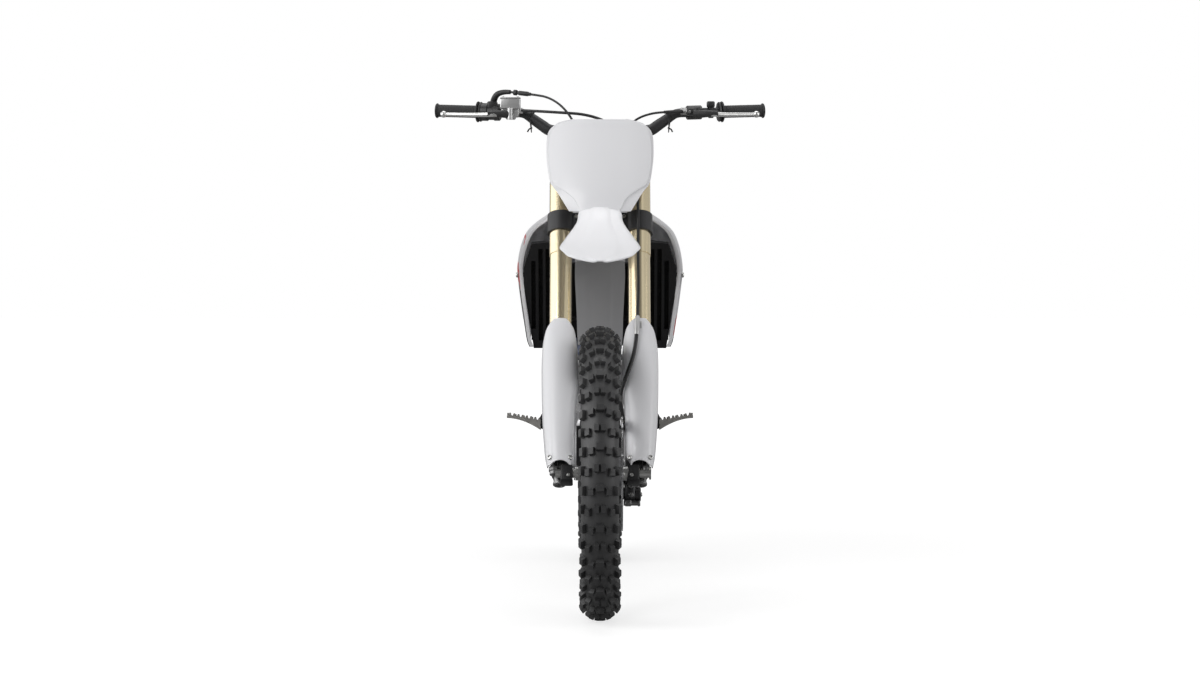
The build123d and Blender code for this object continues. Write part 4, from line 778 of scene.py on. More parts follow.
bar_places = through([place for place, radius in bar_line], 121)
bar_radii = []
for k in range(121):
    step = k / 120 * (len(bar_line) - 1)
    low = min(int(step), len(bar_line) - 2)
    bar_radii.append(bar_line[low][1] + (bar_line[low + 1][1] - bar_line[low][1]) * (step - low))
bar_mesh = limb(bar_places, [(radius, radius) for radius in bar_radii], FRONT, 28)
bar = piece("tapered_bar", bar_mesh, bar_black, 40)
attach(bar, "steering")
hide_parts("handlebar")

GRIP_START = 0.302
GRIP_END = 0.412
profile = [(0.0, 0.0114), (0.0, 0.0250), (0.0015, 0.0262), (0.0035, 0.0255), (0.0050, 0.0180), (0.0080, 0.0158)]
for k in range(22):
    start = 0.0100 + k * 0.0043
    profile += [(start, 0.0150), (start + 0.0008, 0.0156), (start + 0.0026, 0.0156), (start + 0.0034, 0.0150)]
profile += [(0.1050, 0.0160), (0.1065, 0.0185), (0.1085, 0.0185), (0.1100, 0.0170), (0.1105, 0.0)]
bar_length = (on_bar(GRIP_END) - on_bar(GRIP_START)).length
profile = [(min(along, bar_length), radius) for along, radius in profile]
left_grip = lathe(profile, on_bar(GRIP_START), BAR_OUT, 40)
grips = piece("grip_pair", joined([left_grip, mirrored(left_grip)]), grip_rubber, 50)
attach(grips, "steering")
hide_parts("grips")


def lever(name, pivot_x, pivot_ahead, side):
    """A shorty lever: flat forged blade, hooked outwards round a finger's width, with a ball at its end."""
    route = [on_bar(pivot_x, pivot_ahead, -0.006), on_bar(pivot_x + 0.020, 0.068, -0.007),
             on_bar(pivot_x + 0.046, 0.078, -0.009), on_bar(pivot_x + 0.080, 0.074, -0.0105),
             on_bar(pivot_x + 0.115, 0.069, -0.011), on_bar(GRIP_END - 0.026, 0.064, -0.011)]
    places = through(route, 26)
    sizes = [(0.0045 - 0.0010 * k / 25, 0.0068 - 0.0020 * k / 25) for k in range(26)]
    sizes[0] = (0.0030, 0.0040)
    blade = limb(places, sizes, Vector((0, 0, 1)), 14)
    ball = lathe([(-0.0085, 0.0)] + [(0.0085 * math.sin(a), 0.0085 * math.cos(a)) for a in
                                     (math.radians(-75 + 15 * i) for i in range(11))] + [(0.0085, 0.0)],
                 on_bar(GRIP_END - 0.024, 0.064, -0.011), (0, 0, 1), 24)
    mesh = joined([blade, ball])
    return mirrored(mesh) if side < 0 else mesh


levers = piece("lever_pair", joined([lever("left", 0.240, 0.055, 1), lever("right", 0.222, 0.063, -1)]),
               lever_silver, 40)
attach(levers, "steering")
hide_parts("hand_levers")

covers = []
for pivot_x, side in ((0.240, 1), (0.226, -1)):
    way = through([on_bar(pivot_x - 0.008, 0.056, -0.006), on_bar(pivot_x + 0.022, 0.069, -0.0065),
                   on_bar(pivot_x + 0.052, 0.078, -0.007)], 14)
    cover = limb(way, [(0.0090 - 0.0002 * k, 0.0110 - 0.0003 * k) for k in range(14)], UP, 14)
    covers.append(mirrored(cover) if side < 0 else cover)
made = piece("lever_covers", joined(covers), control_black, 40)
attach(made, "steering")

# Right side: the master cylinder with its sight-glass reservoir, and the throttle drum with its boot.
body = block(on_bar(0.222, 0.034), (0.044, 0.034, 0.026), 0.004)
pot = block(on_bar(0.222, 0.040, 0.020), (0.050, 0.036, 0.026), 0.003)
lid = block(on_bar(0.222, 0.040, 0.0345), (0.0505, 0.0365, 0.004), 0.0015)
ring = lathe([(0.0, 0.0114), (0.0, 0.0165), (0.0015, 0.0175), (0.0205, 0.0175), (0.022, 0.0165), (0.022, 0.0114)],
             on_bar(0.211), BAR_OUT, 32, True)
pivot = lathe([(-0.014, 0.0), (-0.014, 0.0075), (0.013, 0.0075), (0.014, 0.0065), (0.014, 0.0)],
              on_bar(0.222, 0.060, -0.005), (0, 0, 1), 24)
banjo = lathe([(-0.006, 0.0), (-0.006, 0.0070), (0.005, 0.0070), (0.006, 0.0055), (0.006, 0.0)],
              on_bar(0.197, 0.036, 0.004), (1, 0, 0), 6)
master = piece("master_cylinder", mirrored(joined([body, pot, lid, ring, pivot, banjo])), cast_silver, 30)
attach(master, "steering")
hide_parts("brake_master")

drum = lathe([(0.0, 0.0114), (0.0, 0.0190), (0.002, 0.0210), (0.014, 0.0212), (0.016, 0.0195), (0.030, 0.0195),
              (0.032, 0.0222), (0.051, 0.0222), (0.053, 0.0205), (0.053, 0.0114)], on_bar(0.248), BAR_OUT, 40, True)
cable_box = block(on_bar(0.268, 0.001, 0.017), (0.026, 0.030, 0.020), 0.005)
drum_flange = lathe([(0.0, 0.0114), (0.0, 0.0235), (0.0025, 0.0250), (0.005, 0.0235), (0.005, 0.0114)],
                    on_bar(0.2945), BAR_OUT, 40, True)
throttle = piece("throttle_drum", mirrored(joined([drum, cable_box, drum_flange])), control_black, 30)
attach(throttle, "steering")
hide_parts("throttle_housing")

# Left side: the clutch perch with its finger adjuster and a cut-off button beside it.
body = block(on_bar(0.238, 0.036), (0.046, 0.046, 0.018), 0.004)
ring = lathe([(0.0, 0.0114), (0.0, 0.0165), (0.0015, 0.0175), (0.0355, 0.0175), (0.037, 0.0165), (0.037, 0.0114)],
             on_bar(0.216), BAR_OUT, 32, True)
pivot = lathe([(-0.013, 0.0), (-0.013, 0.0078), (0.012, 0.0078), (0.013, 0.0065), (0.013, 0.0)],
              on_bar(0.240, 0.054, -0.002), (0, 0, 1), 24)
wheel_profile = [(0.0, 0.0)]
for k in range(7):
    wheel_profile += [(0.0005 + 0.0022 * k, 0.0085), (0.0014 + 0.0022 * k, 0.0095)]
wheel_profile += [(0.0160, 0.0085), (0.0160, 0.0045), (0.0240, 0.0040), (0.0240, 0.0)]
adjuster = lathe(wheel_profile, on_bar(0.2155, 0.036, 0.002), (-1, 0, 0), 24)
perch = piece("clutch_bracket", joined([body, ring, pivot]), control_black, 30)
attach(perch, "steering")
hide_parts("clutch_perch")
made = piece("clutch_adjuster", adjuster, cast_silver, 30)
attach(made, "steering")
button_body = block(on_bar(0.276, -0.002, 0.019), (0.020, 0.024, 0.016), 0.004)
button_ring = lathe([(0.0, 0.0114), (0.0, 0.0150), (0.010, 0.0150), (0.010, 0.0114)], on_bar(0.271), BAR_OUT, 32, True)
button = lathe([(0.0, 0.0), (0.0, 0.0055), (0.003, 0.0055), (0.004, 0.0045), (0.004, 0.0)],
               on_bar(0.276, 0.010, 0.020), (0, -1, 0), 20)
made = piece("stop_button", joined([button_body, button_ring, button]), control_black, 30)
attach(made, "steering")
left_flange = lathe([(0.0, 0.0114), (0.0, 0.0235), (0.0025, 0.0250), (0.005, 0.0235), (0.005, 0.0114)],
                    on_bar(0.2945), BAR_OUT, 40, True)
made = piece("left_flange", left_flange, control_black, 30)
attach(made, "steering")

control_screws = []
for x in (0.204, 0.240):
    control_screws.append((on_bar(x, 0.040, 0.0365, -1), UP, 0.0030))
for x, side in ((0.214, -1), (0.230, -1), (0.222, 1), (0.246, 1)):
    control_screws.append((on_bar(x, 0.058 if side > 0 else 0.050, 0.0, side), FRONT, 0.0032))
for post in (-0.050, 0.050):
    for x_off in (-0.010, 0.010):
        for z_off in (-0.012, 0.012):
            place = at(post + x_off, 0.462, 1.160) + AHEAD * 0.0172 + UP_FORK * z_off * 0
            control_screws.append((place + UP_FORK * (0.0 + z_off), AHEAD, 0.0032))
screws("control_screws", "steering", control_screws, zinc)

# ---------------------------------------------------------------- number plate
# A thin moulded plate, white right through, with turned-back edges; its lower corners step back
# to a flange that tucks in ahead of the fork. It is strapped to the bar and pegged to the clamp.

PLASTIC_T = 0.003
PLATE_SWEEP = 0.046


def panel(name, grid, material, body, outward, wall=PLASTIC_T, soften=0.0007):
    """A moulded sheet over a grid of places, given its wall inwards and its rims rounded."""
    bm = bmesh.new()
    sheet = bm.loops.layers.uv.new("panel")
    rows = [[bm.verts.new(place) for place in row] for row in grid]
    high, wide = len(grid) - 1, len(grid[0]) - 1
    for j in range(high):
        for i in range(wide):
            face = bm.faces.new((rows[j][i], rows[j][i + 1], rows[j + 1][i + 1], rows[j + 1][i]))
            for loop, (u, v) in zip(face.loops, ((i, j), (i + 1, j), (i + 1, j + 1), (i, j + 1))):
                loop[sheet].uv = (u / wide, v / high)
    bm.normal_update()
    if sum((face.normal * face.calc_area() for face in bm.faces), Vector()).dot(Vector(outward)) < 0:
        bmesh.ops.reverse_faces(bm, faces=bm.faces)
    mesh = bpy.data.meshes.new(name)
    bm.to_mesh(mesh)
    bm.free()
    made = piece(name, mesh, material, 30)
    skin = made.modifiers.new("wall", "SOLIDIFY")
    skin.thickness = wall
    skin.offset = -1
    skin.use_even_offset = True
    rim = made.modifiers.new("rim", "BEVEL")
    rim.width = soften
    rim.segments = 2
    rim.limit_method = "ANGLE"
    rim.angle_limit = math.radians(55)
    settled(made)
    made.data.shade_smooth()
    made.data.set_sharp_from_angle(angle=math.radians(38))
    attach(made, body)
    return made


def smooth_columns(rows, count):
    """Rows of places made denser down each column, by a smooth curve through them."""
    columns = [through([row[i] for row in rows], count) for i in range(len(rows[0]))]
    return [[column[j] for column in columns] for j in range(count)]


white_plastic = finish("white_plastic", (0.78, 0.78, 0.80), 0.32, drift=0.004, drift_size=0.25, grain=0.02,
                       grain_size=0.0010, coat=0.25, worn=0.008)
PLATE = [(1.189, 0.350, 0.059, 0.066), (1.185, 0.348, 0.080, 0.087), (1.178, 0.344, 0.100, 0.107),
         (1.155, 0.332, 0.121, 0.128), (1.105, 0.305, 0.1255, 0.1315), (1.060, 0.282, 0.121, 0.127),
         (1.030, 0.268, 0.113, 0.1205), (1.014, 0.261, 0.088, 0.108), (0.996, 0.2543, 0.065, 0.096),
         (0.978, 0.249, 0.054, 0.085), (0.962, 0.245, 0.046, 0.075)]
rows = []
for z, y, crease, rim in PLATE:
    row = []
    for k in range(-8, 9):
        x = crease * k / 8
        row.append(at(x, y + PLATE_SWEEP * (abs(x) / 0.1315) ** 2.2, z))
    edge_y = y + PLATE_SWEEP * (crease / 0.1315) ** 2.2
    for side in (-1, 1):
        step = [at(side * (crease + 0.0015), edge_y + 0.006, z),
                at(side * rim, edge_y + 0.010 + 0.15 * (rim - crease), z + 0.001)]
        row = step[::-1] + row if side < 0 else row + step
    rows.append(row)
plate = panel("plate", smooth_columns(rows, 44), white_plastic, "steering", (0, -1, 0.4))
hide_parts("number_plate")
stays = []
for x in (-0.020, 0.020):
    stays.append(lathe([(0.0, 0.0), (0.0, 0.0050), (0.080, 0.0050), (0.080, 0.0)], on_fork(x, 0.892, 0.0183), AHEAD, 16))
stays.append(block(at(0, 0.372, 1.170), (0.050, 0.006, 0.020), 0.002))
made = piece("plate_stays", joined(stays), control_black, 30)
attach(made, "steering")
strap = panel("plate_strap", [[at(x, y, z) for x in (-0.012, 0.0, 0.012)] for y, z in
                              ((0.352, 1.176), (0.380, 1.184), (0.430, 1.179), (0.462, 1.1768), (0.478, 1.166),
                               (0.479, 1.155))], control_black, "steering", (0, 0, 1), 0.0025)

# ---------------------------------------------------------------- front fender
# One white moulding bolted up under the lower clamp: a wide faceted beak with a raised middle, a
# narrow waist between the fork legs, and a flap that hangs behind the tyre, coloured mid-grey as painted shade.

FENDER = [(-0.120, 0.846, 0.016, 0.000, 19, 0.50), (-0.104, 0.851, 0.042, 0.000, 19, 0.50),
          (-0.075, 0.860, 0.073, 0.000, 19, 0.50), (-0.045, 0.8695, 0.086, 0.001, 19, 0.50),
          (-0.022, 0.878, 0.0945, 0.001, 19, 0.46), (0.000, 0.886, 0.0915, 0.002, 20, 0.44),
          (0.030, 0.897, 0.085, 0.000, 21, 0.43), (0.060, 0.908, 0.079, -0.002, 21, 0.42),
          (0.110, 0.929, 0.064, -0.003, 22, 0.41), (0.150, 0.948, 0.055, -0.006, 24, 0.40),
          (0.182, 0.965, 0.053, -0.008, 20, 0.40),
          (0.204, 0.973, 0.051, -0.009, 2, 0.40), (0.224, 0.966, 0.053, -0.010, -34, 0.40),
          (0.248, 0.943, 0.055, -0.012, -46, 0.40),
          (0.276, 0.914, 0.058, -0.012, -42, 0.40), (0.330, 0.885, 0.060, -0.008, -26, 0.40),
          (0.398, 0.848, 0.062, -0.004, -38, 0.40)]
FLAP = [(0.394, 0.852, 0.0605, -0.004, -38, 0.5), (0.440, 0.800, 0.062, 0.000, -56, 0.5),
        (0.467, 0.750, 0.060, 0.000, -66, 0.5), (0.484, 0.705, 0.058, 0.000, -74, 0.5),
        (0.494, 0.665, 0.057, 0.000, -79, 0.5), (0.500, 0.631, 0.055, 0.000, -82, 0.5)]
ACROSS = [-1.0, -0.985, -0.93, -0.82, -0.70, -0.58, -0.50, -0.44, -0.36, -0.18, 0.0]
ACROSS += [-share for share in reversed(ACROSS[:-1])]


def fender_rows(stations, raised, dropped):
    """The fender's surface: edges lifted or dropped, a raised middle with soft shoulders, a turned-down lip."""
    made = []
    for y, z, width, lift, slope, plateau in stations:
        normal = Vector((0, -math.sin(math.radians(slope)), math.cos(math.radians(slope))))
        row = []
        for share in ACROSS:
            inside = min(1.0, max(0.0, (plateau + 0.06 - abs(share)) / 0.12))
            rise = raised * inside * inside * (3 - 2 * inside) - raised
            lip = dropped * max(0.0, (abs(share) - 0.97) / 0.03)
            row.append(at(share * width, y, z) + normal * (lift * share * share + rise - lip))
        made.append(row)
    return made


fender = panel("fender_beak", smooth_columns(fender_rows(FENDER, 0.0022, 0.0035), 70), white_plastic, "steering",
               (0, -0.3, 1))
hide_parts("front_fender")
# The flap's mid-grey is painted shade on the white moulding's face that is turned away from the lights.
flap_grey = finish("flap_grey", (0.30, 0.30, 0.31), 0.34, drift=0.01, drift_size=0.15, grain=0.05, worn=0.02)
flap = panel("fender_flap", smooth_columns(fender_rows(FLAP, 0.0014, 0.0), 40), flap_grey, "steering",
             (0, -1, 0.3))
pegs = []
for side in (-1, 1):
    pegs.append(lathe([(0.0, 0.0), (0.0, 0.0085), (0.016, 0.0080), (0.016, 0.0)],
                      on_fork(side * 0.022, 0.6292, -0.004), UP_FORK, 20))
made = piece("fender_bosses", joined(pegs), white_plastic, 30)
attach(made, "steering")

# ---------------------------------------------------------------- fork guards
# Long white mouldings, arched at the top, that wrap the front and outside of each leg and are
# screwed to the axle lugs. The left one carries the bright clip that holds the brake hose.

GUARD = [(0.014, 0.0620, 0.1245, 0.055, 0.026), (0.026, 0.0605, 0.1262, 0.055, 0.021),
         (0.060, 0.0595, 0.131, 0.055, 0.008), (0.150, 0.059, 0.137, 0.053, 0.002),
         (0.240, 0.0525, 0.1395, 0.052, 0.000), (0.320, 0.053, 0.139, 0.050, 0.004),
         (0.368, 0.060, 0.131, 0.047, 0.020), (0.388, 0.070, 0.120, 0.0445, 0.031), (0.398, 0.080, 0.111, 0.043, 0.037)]


def guard(side, name):
    """One guard; the notch above the lug keeps its inner edge short at the bottom."""
    rows = []
    for along, inner, outer, crown, edge in GUARD:
        low = 0.0715 if along < 0.05 and side > 0 else inner
        middle, half = (inner + outer) / 2, (outer - inner) / 2
        row = []
        for k in range(25):
            share = -1 + 2 * k / 24
            x = middle + half * math.sin(share * math.pi / 2)
            x = max(x, low)
            arch = 0.010 * max(0.0, 1 - (share / 0.55) ** 2) * max(0.0, 1 - (along - 0.014) / 0.046)
            ahead = edge + (crown - edge) * math.cos(share * math.pi / 2) ** 0.7
            row.append(on_fork(side * x, along + arch, ahead))
        rows.append(row)
    made = panel(name, smooth_columns(rows, 60), white_plastic, "steering", (0, -1, 0.2))
    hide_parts(name.replace("shell", "guard").replace("leg_", "fork_"))
    return made


guard(1, "leg_shell_left")
guard(-1, "leg_shell_right")
guard_screws = []
for side in (-1, 1):
    guard_screws.append((on_fork(side * 0.1180, 0.033, 0.0465), AHEAD + Vector((side * 0.4, 0, 0)), 0.0060))
    guard_screws.append((on_fork(side * 0.0705, 0.033, 0.0460), AHEAD - Vector((side * 0.4, 0, 0)), 0.0060))
screws("guard_screws", "steering", guard_screws, zinc)

# ---------------------------------------------------------------- brake hose and cables
# The hose runs from the master cylinder behind the plate and down the left leg to the caliper.
# The throttle and clutch cables run from the bar round the head to the tank.

HOSE = [(-0.194, 0.436, 1.214), (-0.15, 0.414, 1.211), (-0.096, 0.396, 1.207), (-0.04, 0.386, 1.203),
        (0.01, 0.376, 1.188), (0.052, 0.364, 1.158), (0.08, 0.35, 1.112), (0.09, 0.33, 1.058),
        (0.092, 0.308, 1.), (0.093, 0.281, 0.942), (0.092, 0.25, 0.848), (0.093, 0.213, 0.776),
        (0.09, 0.173, 0.718), (0.088, 0.135, 0.67), (0.08, 0.106, 0.617), (0.062, 0.09, 0.57),
        (0.046, 0.091, 0.524), (0.051, 0.093, 0.482), (0.0625, 0.094, 0.442), (0.064, 0.122, 0.412),
        (0.07, 0.15, 0.378), (0.073, 0.1423, 0.3426)]
THROTTLE = [(-0.266, 0.491, 1.2343), (-0.262, 0.478, 1.254), (-0.238, 0.464, 1.262), (-0.204, 0.448, 1.258),
            (-0.166, 0.432, 1.253), (-0.128, 0.41, 1.246), (-0.094, 0.388, 1.224), (-0.066, 0.375, 1.188),
            (-0.048, 0.368, 1.136), (-0.042, 0.368, 1.084), (-0.047, 0.398, 1.042), (-0.048, 0.44, 1.015),
            (-0.044, 0.478, 1.001), (-0.038, 0.508, 0.992)]
CLUTCH = [(0.2136, 0.444, 1.212), (0.166, 0.42, 1.21), (0.122, 0.404, 1.205), (0.084, 0.397, 1.189),
          (0.056, 0.39, 1.154), (0.043, 0.38, 1.104), (0.045, 0.392, 1.054), (0.048, 0.436, 1.018),
          (0.045, 0.476, 1.001), (0.038, 0.508, 0.992)]
HOSE_R = 0.0035
CABLE_R = 0.0028
cable_black = finish("cable_black", (0.010, 0.010, 0.011), 0.48, drift=0.12, drift_size=0.02, grain=0.20,
                     grain_size=0.0010)


def route(name, points, radius):
    """A cord's curve: one NURBS spline whose control points are its route."""
    data = bpy.data.curves.new(name, "CURVE")
    data.dimensions = "3D"
    spline = data.splines.new("NURBS")
    spline.points.add(len(points) - 1)
    for point, place in zip(spline.points, points):
        point.co = (*at(*place), 1.0)
    spline.order_u = 3
    spline.use_endpoint_u = True
    spline.resolution_u = 10
    data.bevel_depth = radius
    data.bevel_resolution = 4
    data.use_fill_caps = True
    made = bpy.data.objects.new(name, data)
    bpy.context.scene.collection.objects.link(made)
    data.materials.append(cable_black)
    return made


def centreline(made):
    """The places along a cord's curve."""
    depth = made.data.bevel_depth
    made.data.bevel_depth = 0
    graph = bpy.context.evaluated_depsgraph_get()
    graph.update()
    mesh = bpy.data.meshes.new_from_object(made.evaluated_get(graph))
    places = [vert.co.copy() for vert in mesh.vertices]
    made.data.bevel_depth = depth
    return places


hose = route("brake_hose", HOSE, HOSE_R)
hose_line = centreline(hose)
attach(hose, "steering")
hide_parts("front_brake_hose")

cable_lines = {}
for name, points, length, cad_name in (("throttle_line", THROTTLE, 0.547, "throttle_cable"),
                                       ("clutch_line", CLUTCH, 0.422, "clutch_cable")):
    curve = route(name + "_curve", points, CABLE_R)
    line = centreline(curve)
    cable_lines[name] = line
    graph = bpy.context.evaluated_depsgraph_get()
    graph.update()
    mesh = bpy.data.meshes.new_from_object(curve.evaluated_get(graph))
    bpy.data.objects.remove(curve)
    cable = piece(name, mesh, cable_black, 60)
    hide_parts(cad_name)
    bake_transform(cable)


def sleeve(line, low, high, profile, sides=20):
    """A turned sleeve that follows a cord between two shares of its length."""
    first, last = int(low * (len(line) - 1)), int(high * (len(line) - 1))
    bm = bmesh.new()
    rings = []
    for k in range(first, last + 1):
        share = (k - first) / max(1, last - first)
        ahead = (line[min(k + 1, len(line) - 1)] - line[max(k - 1, 0)]).normalized()
        side = ahead.cross(Vector((0, 0.3, 1))).normalized()
        up = side.cross(ahead)
        radius = profile(share)
        rings.append([bm.verts.new(line[k] + side * (radius * math.cos(2 * math.pi * i / sides))
                                   + up * (radius * math.sin(2 * math.pi * i / sides))) for i in range(sides)])
    for a, b in zip(rings, rings[1:]):
        for i in range(sides):
            bm.faces.new((a[i], a[(i + 1) % sides], b[(i + 1) % sides], b[i]))
    bm.faces.new(rings[0][::-1])
    bm.faces.new(rings[-1])
    return as_mesh(bm)


# Rubber boots: the elbow over the throttle housing, its adjuster's cover, and the clutch adjuster's.
boots = [sleeve(cable_lines["throttle_line"], 0.0, 0.165, lambda share: 0.0085 - 0.0030 * share),
         sleeve(cable_lines["throttle_line"], 0.205, 0.285, lambda share: 0.0058 if 0.1 < share < 0.9 else 0.0042),
         sleeve(cable_lines["throttle_line"], 0.19, 0.205, lambda share: 0.0070),
         sleeve(cable_lines["clutch_line"], 0.0, 0.09, lambda share: 0.0050 - 0.0012 * share)]
made = piece("cable_boots", joined(boots), cable_black, 60)
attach(made, "steering")

# Hooked ties hold the cables under the rising runs of the bar.
ties = []
for side in (-1, 1):
    tail = [at(side * 0.172, 0.462, 1.196), at(side * 0.172, 0.458, 1.184), at(side * 0.171, 0.456, 1.172),
            at(side * 0.170, 0.455, 1.160)]
    ties.append(limb(through(tail, 10), [(0.0030 - 0.0002 * k, 0.0020) for k in range(10)], FRONT, 8))
    ties.append(limb(through([at(side * 0.168, 0.455, 1.172), at(side * 0.176, 0.454, 1.168),
                              at(side * 0.180, 0.454, 1.161)], 8), [(0.0018, 0.0015)] * 8, FRONT, 8))
    ties.append(lathe([(-0.0025, 0.0105), (-0.0025, 0.0142), (0.0025, 0.0142), (0.0025, 0.0105)],
                      at(side * 0.1725, 0.4715, 1.2010), Vector((side * 0.8, 0.14, 0.56)), 24, True))
made = piece("cable_ties", joined(ties), cable_black, 50)
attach(made, "steering")

# The clip on the left guard: a bright folded strap round the hose, open below.
clip_high = on_fork(0.0905, 0.388, 0.0455)
clip_low = on_fork(0.0895, 0.350, 0.0505)
nearest = min(hose_line, key=lambda place: (place - (clip_high + clip_low) / 2).length)
first = min(range(len(hose_line)), key=lambda k: abs((hose_line[k] - nearest).length))
sleeve_metal = sleeve(hose_line, (first - 4) / (len(hose_line) - 1), (first + 4) / (len(hose_line) - 1),
                      lambda share: 0.0062 if 0.1 < share < 0.9 else 0.0054)
foot = block(nearest + Vector((0.004, 0.009, 0)), (0.016, 0.010, 0.026), 0.0015)
clip = piece("hose_clip", joined([sleeve_metal, foot]), cast_silver, 30)
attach(clip, "steering")
heat_sleeve = sleeve(hose_line, (first + 4) / (len(hose_line) - 1), 0.985, lambda share: 0.0046)
made = piece("hose_sleeve", heat_sleeve, cable_black, 60)
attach(made, "steering")

# ---------------------------------------------------------------- axle ends, front brake
# The hollow steel axle is pinched in the lugs and closed by a wide nut on the left. A black
# two-piston caliper hangs from the left lug on a bracket, held by two bolts with its hose on top.

axle_steel = finish("axle_steel", (0.46, 0.46, 0.45), 0.30, metal=1.0, drift=0.05, grain=0.06, worn=0.03)
caliper_black = finish("caliper_black", (0.016, 0.016, 0.017), 0.44, metal=0.2, drift=0.10, grain=0.18)
wear("front_axle", axle_steel)
CALIPER_TURN = Matrix.Rotation(math.radians(-22), 3, "X")


def on_caliper(x, out, along):
    """A place by its distance to the left, out from the axle, and up along the disc's edge."""
    return Vector((GROUND.x + x, front_axle.y, front_axle.z)) + CALIPER_TURN @ Vector((0, out, along))


def side_plate(corners, x_low, x_high):
    """A flat plate between two distances to the left, from its outline seen from the side."""
    bm = bmesh.new()
    near = [bm.verts.new(at(x_low, y, z)) for y, z in corners]
    far = [bm.verts.new(at(x_high, y, z)) for y, z in corners]
    bm.faces.new(near)
    bm.faces.new(far[::-1])
    for k in range(len(corners)):
        j = (k + 1) % len(corners)
        bm.faces.new((near[k], far[k], far[j], near[j]))
    bmesh.ops.triangulate(bm, faces=bm.faces)
    return as_mesh(bm)


halves = [block(on_caliper(0.0710, 0.1330, 0.006), (0.0300, 0.0400, 0.0660), 0.009, CALIPER_TURN),
          block(on_caliper(0.0435, 0.1330, 0.006), (0.0110, 0.0400, 0.0600), 0.004, CALIPER_TURN),
          block(on_caliper(0.0610, 0.1480, 0.006), (0.0460, 0.0140, 0.0460), 0.004, CALIPER_TURN)]
for along in (-0.0105, 0.0225):
    halves.append(lathe([(0.0, 0.0), (0.0, 0.0170), (0.010, 0.0165), (0.0125, 0.0145), (0.0125, 0.0110),
                         (0.0110, 0.0100), (0.0110, 0.0)], on_caliper(0.0850, 0.1320, along), (1, 0, 0), 32))
body = piece("caliper_body", joined(halves), caliper_black, 30)
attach(body, "steering")
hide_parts("front_caliper")

pins = []
for along in (-0.0330, 0.0425):
    pins.append(lathe([(0.0, 0.0), (0.0, 0.0062), (0.034, 0.0062), (0.034, 0.0078), (0.038, 0.0078), (0.040, 0.0066),
                       (0.040, 0.0)], on_caliper(0.0560, 0.1290, along), (1, 0, 0), 20))
    pins.append(block(on_caliper(0.0670, 0.1290, along), (0.0160, 0.0170, 0.0130), 0.003, CALIPER_TURN))
for along in (-0.018, 0.004, 0.028):
    pins.append(lathe([(0.0, 0.0), (0.0, 0.0058), (0.0050, 0.0058), (0.0060, 0.0048), (0.0060, 0.0)],
                      on_caliper(0.0740, 0.1135, along), CALIPER_TURN @ Vector((0, -1, 0)), 20))
pins.append(lathe([(0.0, 0.0), (0.0, 0.0070), (0.0045, 0.0070), (0.0045, 0.0090), (0.0105, 0.0090), (0.0105, 0.0058),
                   (0.0140, 0.0058), (0.0140, 0.0)], on_caliper(0.0730, 0.1350, 0.0370), CALIPER_TURN @ UP, 6))
pins.append(side_plate([(0.044, 0.360), (0.060, 0.382), (0.088, 0.370), (0.122, 0.346), (0.116, 0.312), (0.090, 0.318),
                        (0.060, 0.336), (0.042, 0.340)], 0.0600, 0.0700))
metal = piece("caliper_fittings", joined(pins), lug_grey, 30)
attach(metal, "steering")
screws("caliper_bolts", "steering",
       [(on_caliper(0.0965, 0.1320, along), (1, 0, 0), 0.0050) for along in (-0.0105, 0.0225)]
       + [(on_caliper(0.0740, 0.1070, along), CALIPER_TURN @ Vector((0, -1, 0)), 0.0034) for along in (-0.018, 0.028)],
       zinc)

# ---------------------------------------------------------------- radiators and louvres
# Two aluminium cores with folded fins between flat tubes, coloured near-black as painted shade in the deep fin gaps,
# a cap on the right one, and black moulded louvres clipped on ahead of them.

RADIATOR_TURN = Matrix.Rotation(math.radians(14), 3, "X")
radiator_centre = at(0, 0.530, 0.765)


def on_radiator(x, y, z):
    """A place in the radiators' tilted frame."""
    return radiator_centre + Vector((x, 0, 0)) + RADIATOR_TURN @ Vector((0, y, z))


def banded(material, axis, spacing, depth, turn=0.0):
    """Adds evenly spaced ridges along one axis of an object to a finish."""
    tree = material.node_tree
    shader = tree.nodes["Principled BSDF"]
    place = node(tree, "ShaderNodeTexCoord")
    turned_place = node(tree, "ShaderNodeMapping")
    turned_place.inputs["Rotation"].default_value = (turn, 0, 0)
    wave = node(tree, "ShaderNodeTexWave", bands_direction=axis, values={"Scale": 0.314 / spacing, "Distortion": 0.0})
    ridge = node(tree, "ShaderNodeBump", values={"Strength": 0.9, "Distance": depth})
    before = shader.inputs["Normal"].links[0].from_node
    link(tree, place, "Object", turned_place, "Vector")
    link(tree, turned_place, 0, wave, "Vector")
    link(tree, wave, "Fac", ridge, "Height")
    link(tree, before, 0, ridge, "Normal")
    link(tree, ridge, 0, shader, "Normal")
    return material


# The cores' near-black colour is painted shade that stands in for the dark gaps between the fins.
core_shade_black = banded(finish("radiator_black", (0.010, 0.010, 0.011), 0.55, drift=0.10, grain=0.10, shine=0.3),
                    "Z", 0.0035, 0.0008, math.radians(-14))
black_plastic = finish("black_plastic", (0.008, 0.008, 0.009), 0.46, shine=0.3, drift=0.10, drift_size=0.04, grain=0.18,
                       grain_size=0.0010, worn=0.04)
wear("radiators", core_shade_black)
wear("radiator_louvres", black_plastic)
tanks = []
for side in (-1, 1):
    for z in (-0.113, 0.113):
        tanks.append(block(on_radiator(side * 0.126, 0.003, z), (0.0915, 0.0255, 0.017), 0.004, RADIATOR_TURN))
radiator_cap = lathe([(-0.006, 0.0), (-0.006, 0.013), (0.0, 0.013), (0.001, 0.019), (0.006, 0.020), (0.008, 0.017),
                      (0.008, 0.0)], on_radiator(-0.120, 0.004, 0.114), RADIATOR_TURN @ Vector((0, 0, 1)), 24)
tanks = piece("radiator_tanks", joined(tanks + [radiator_cap]), hub_alloy, 30)
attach(tanks, "chassis")
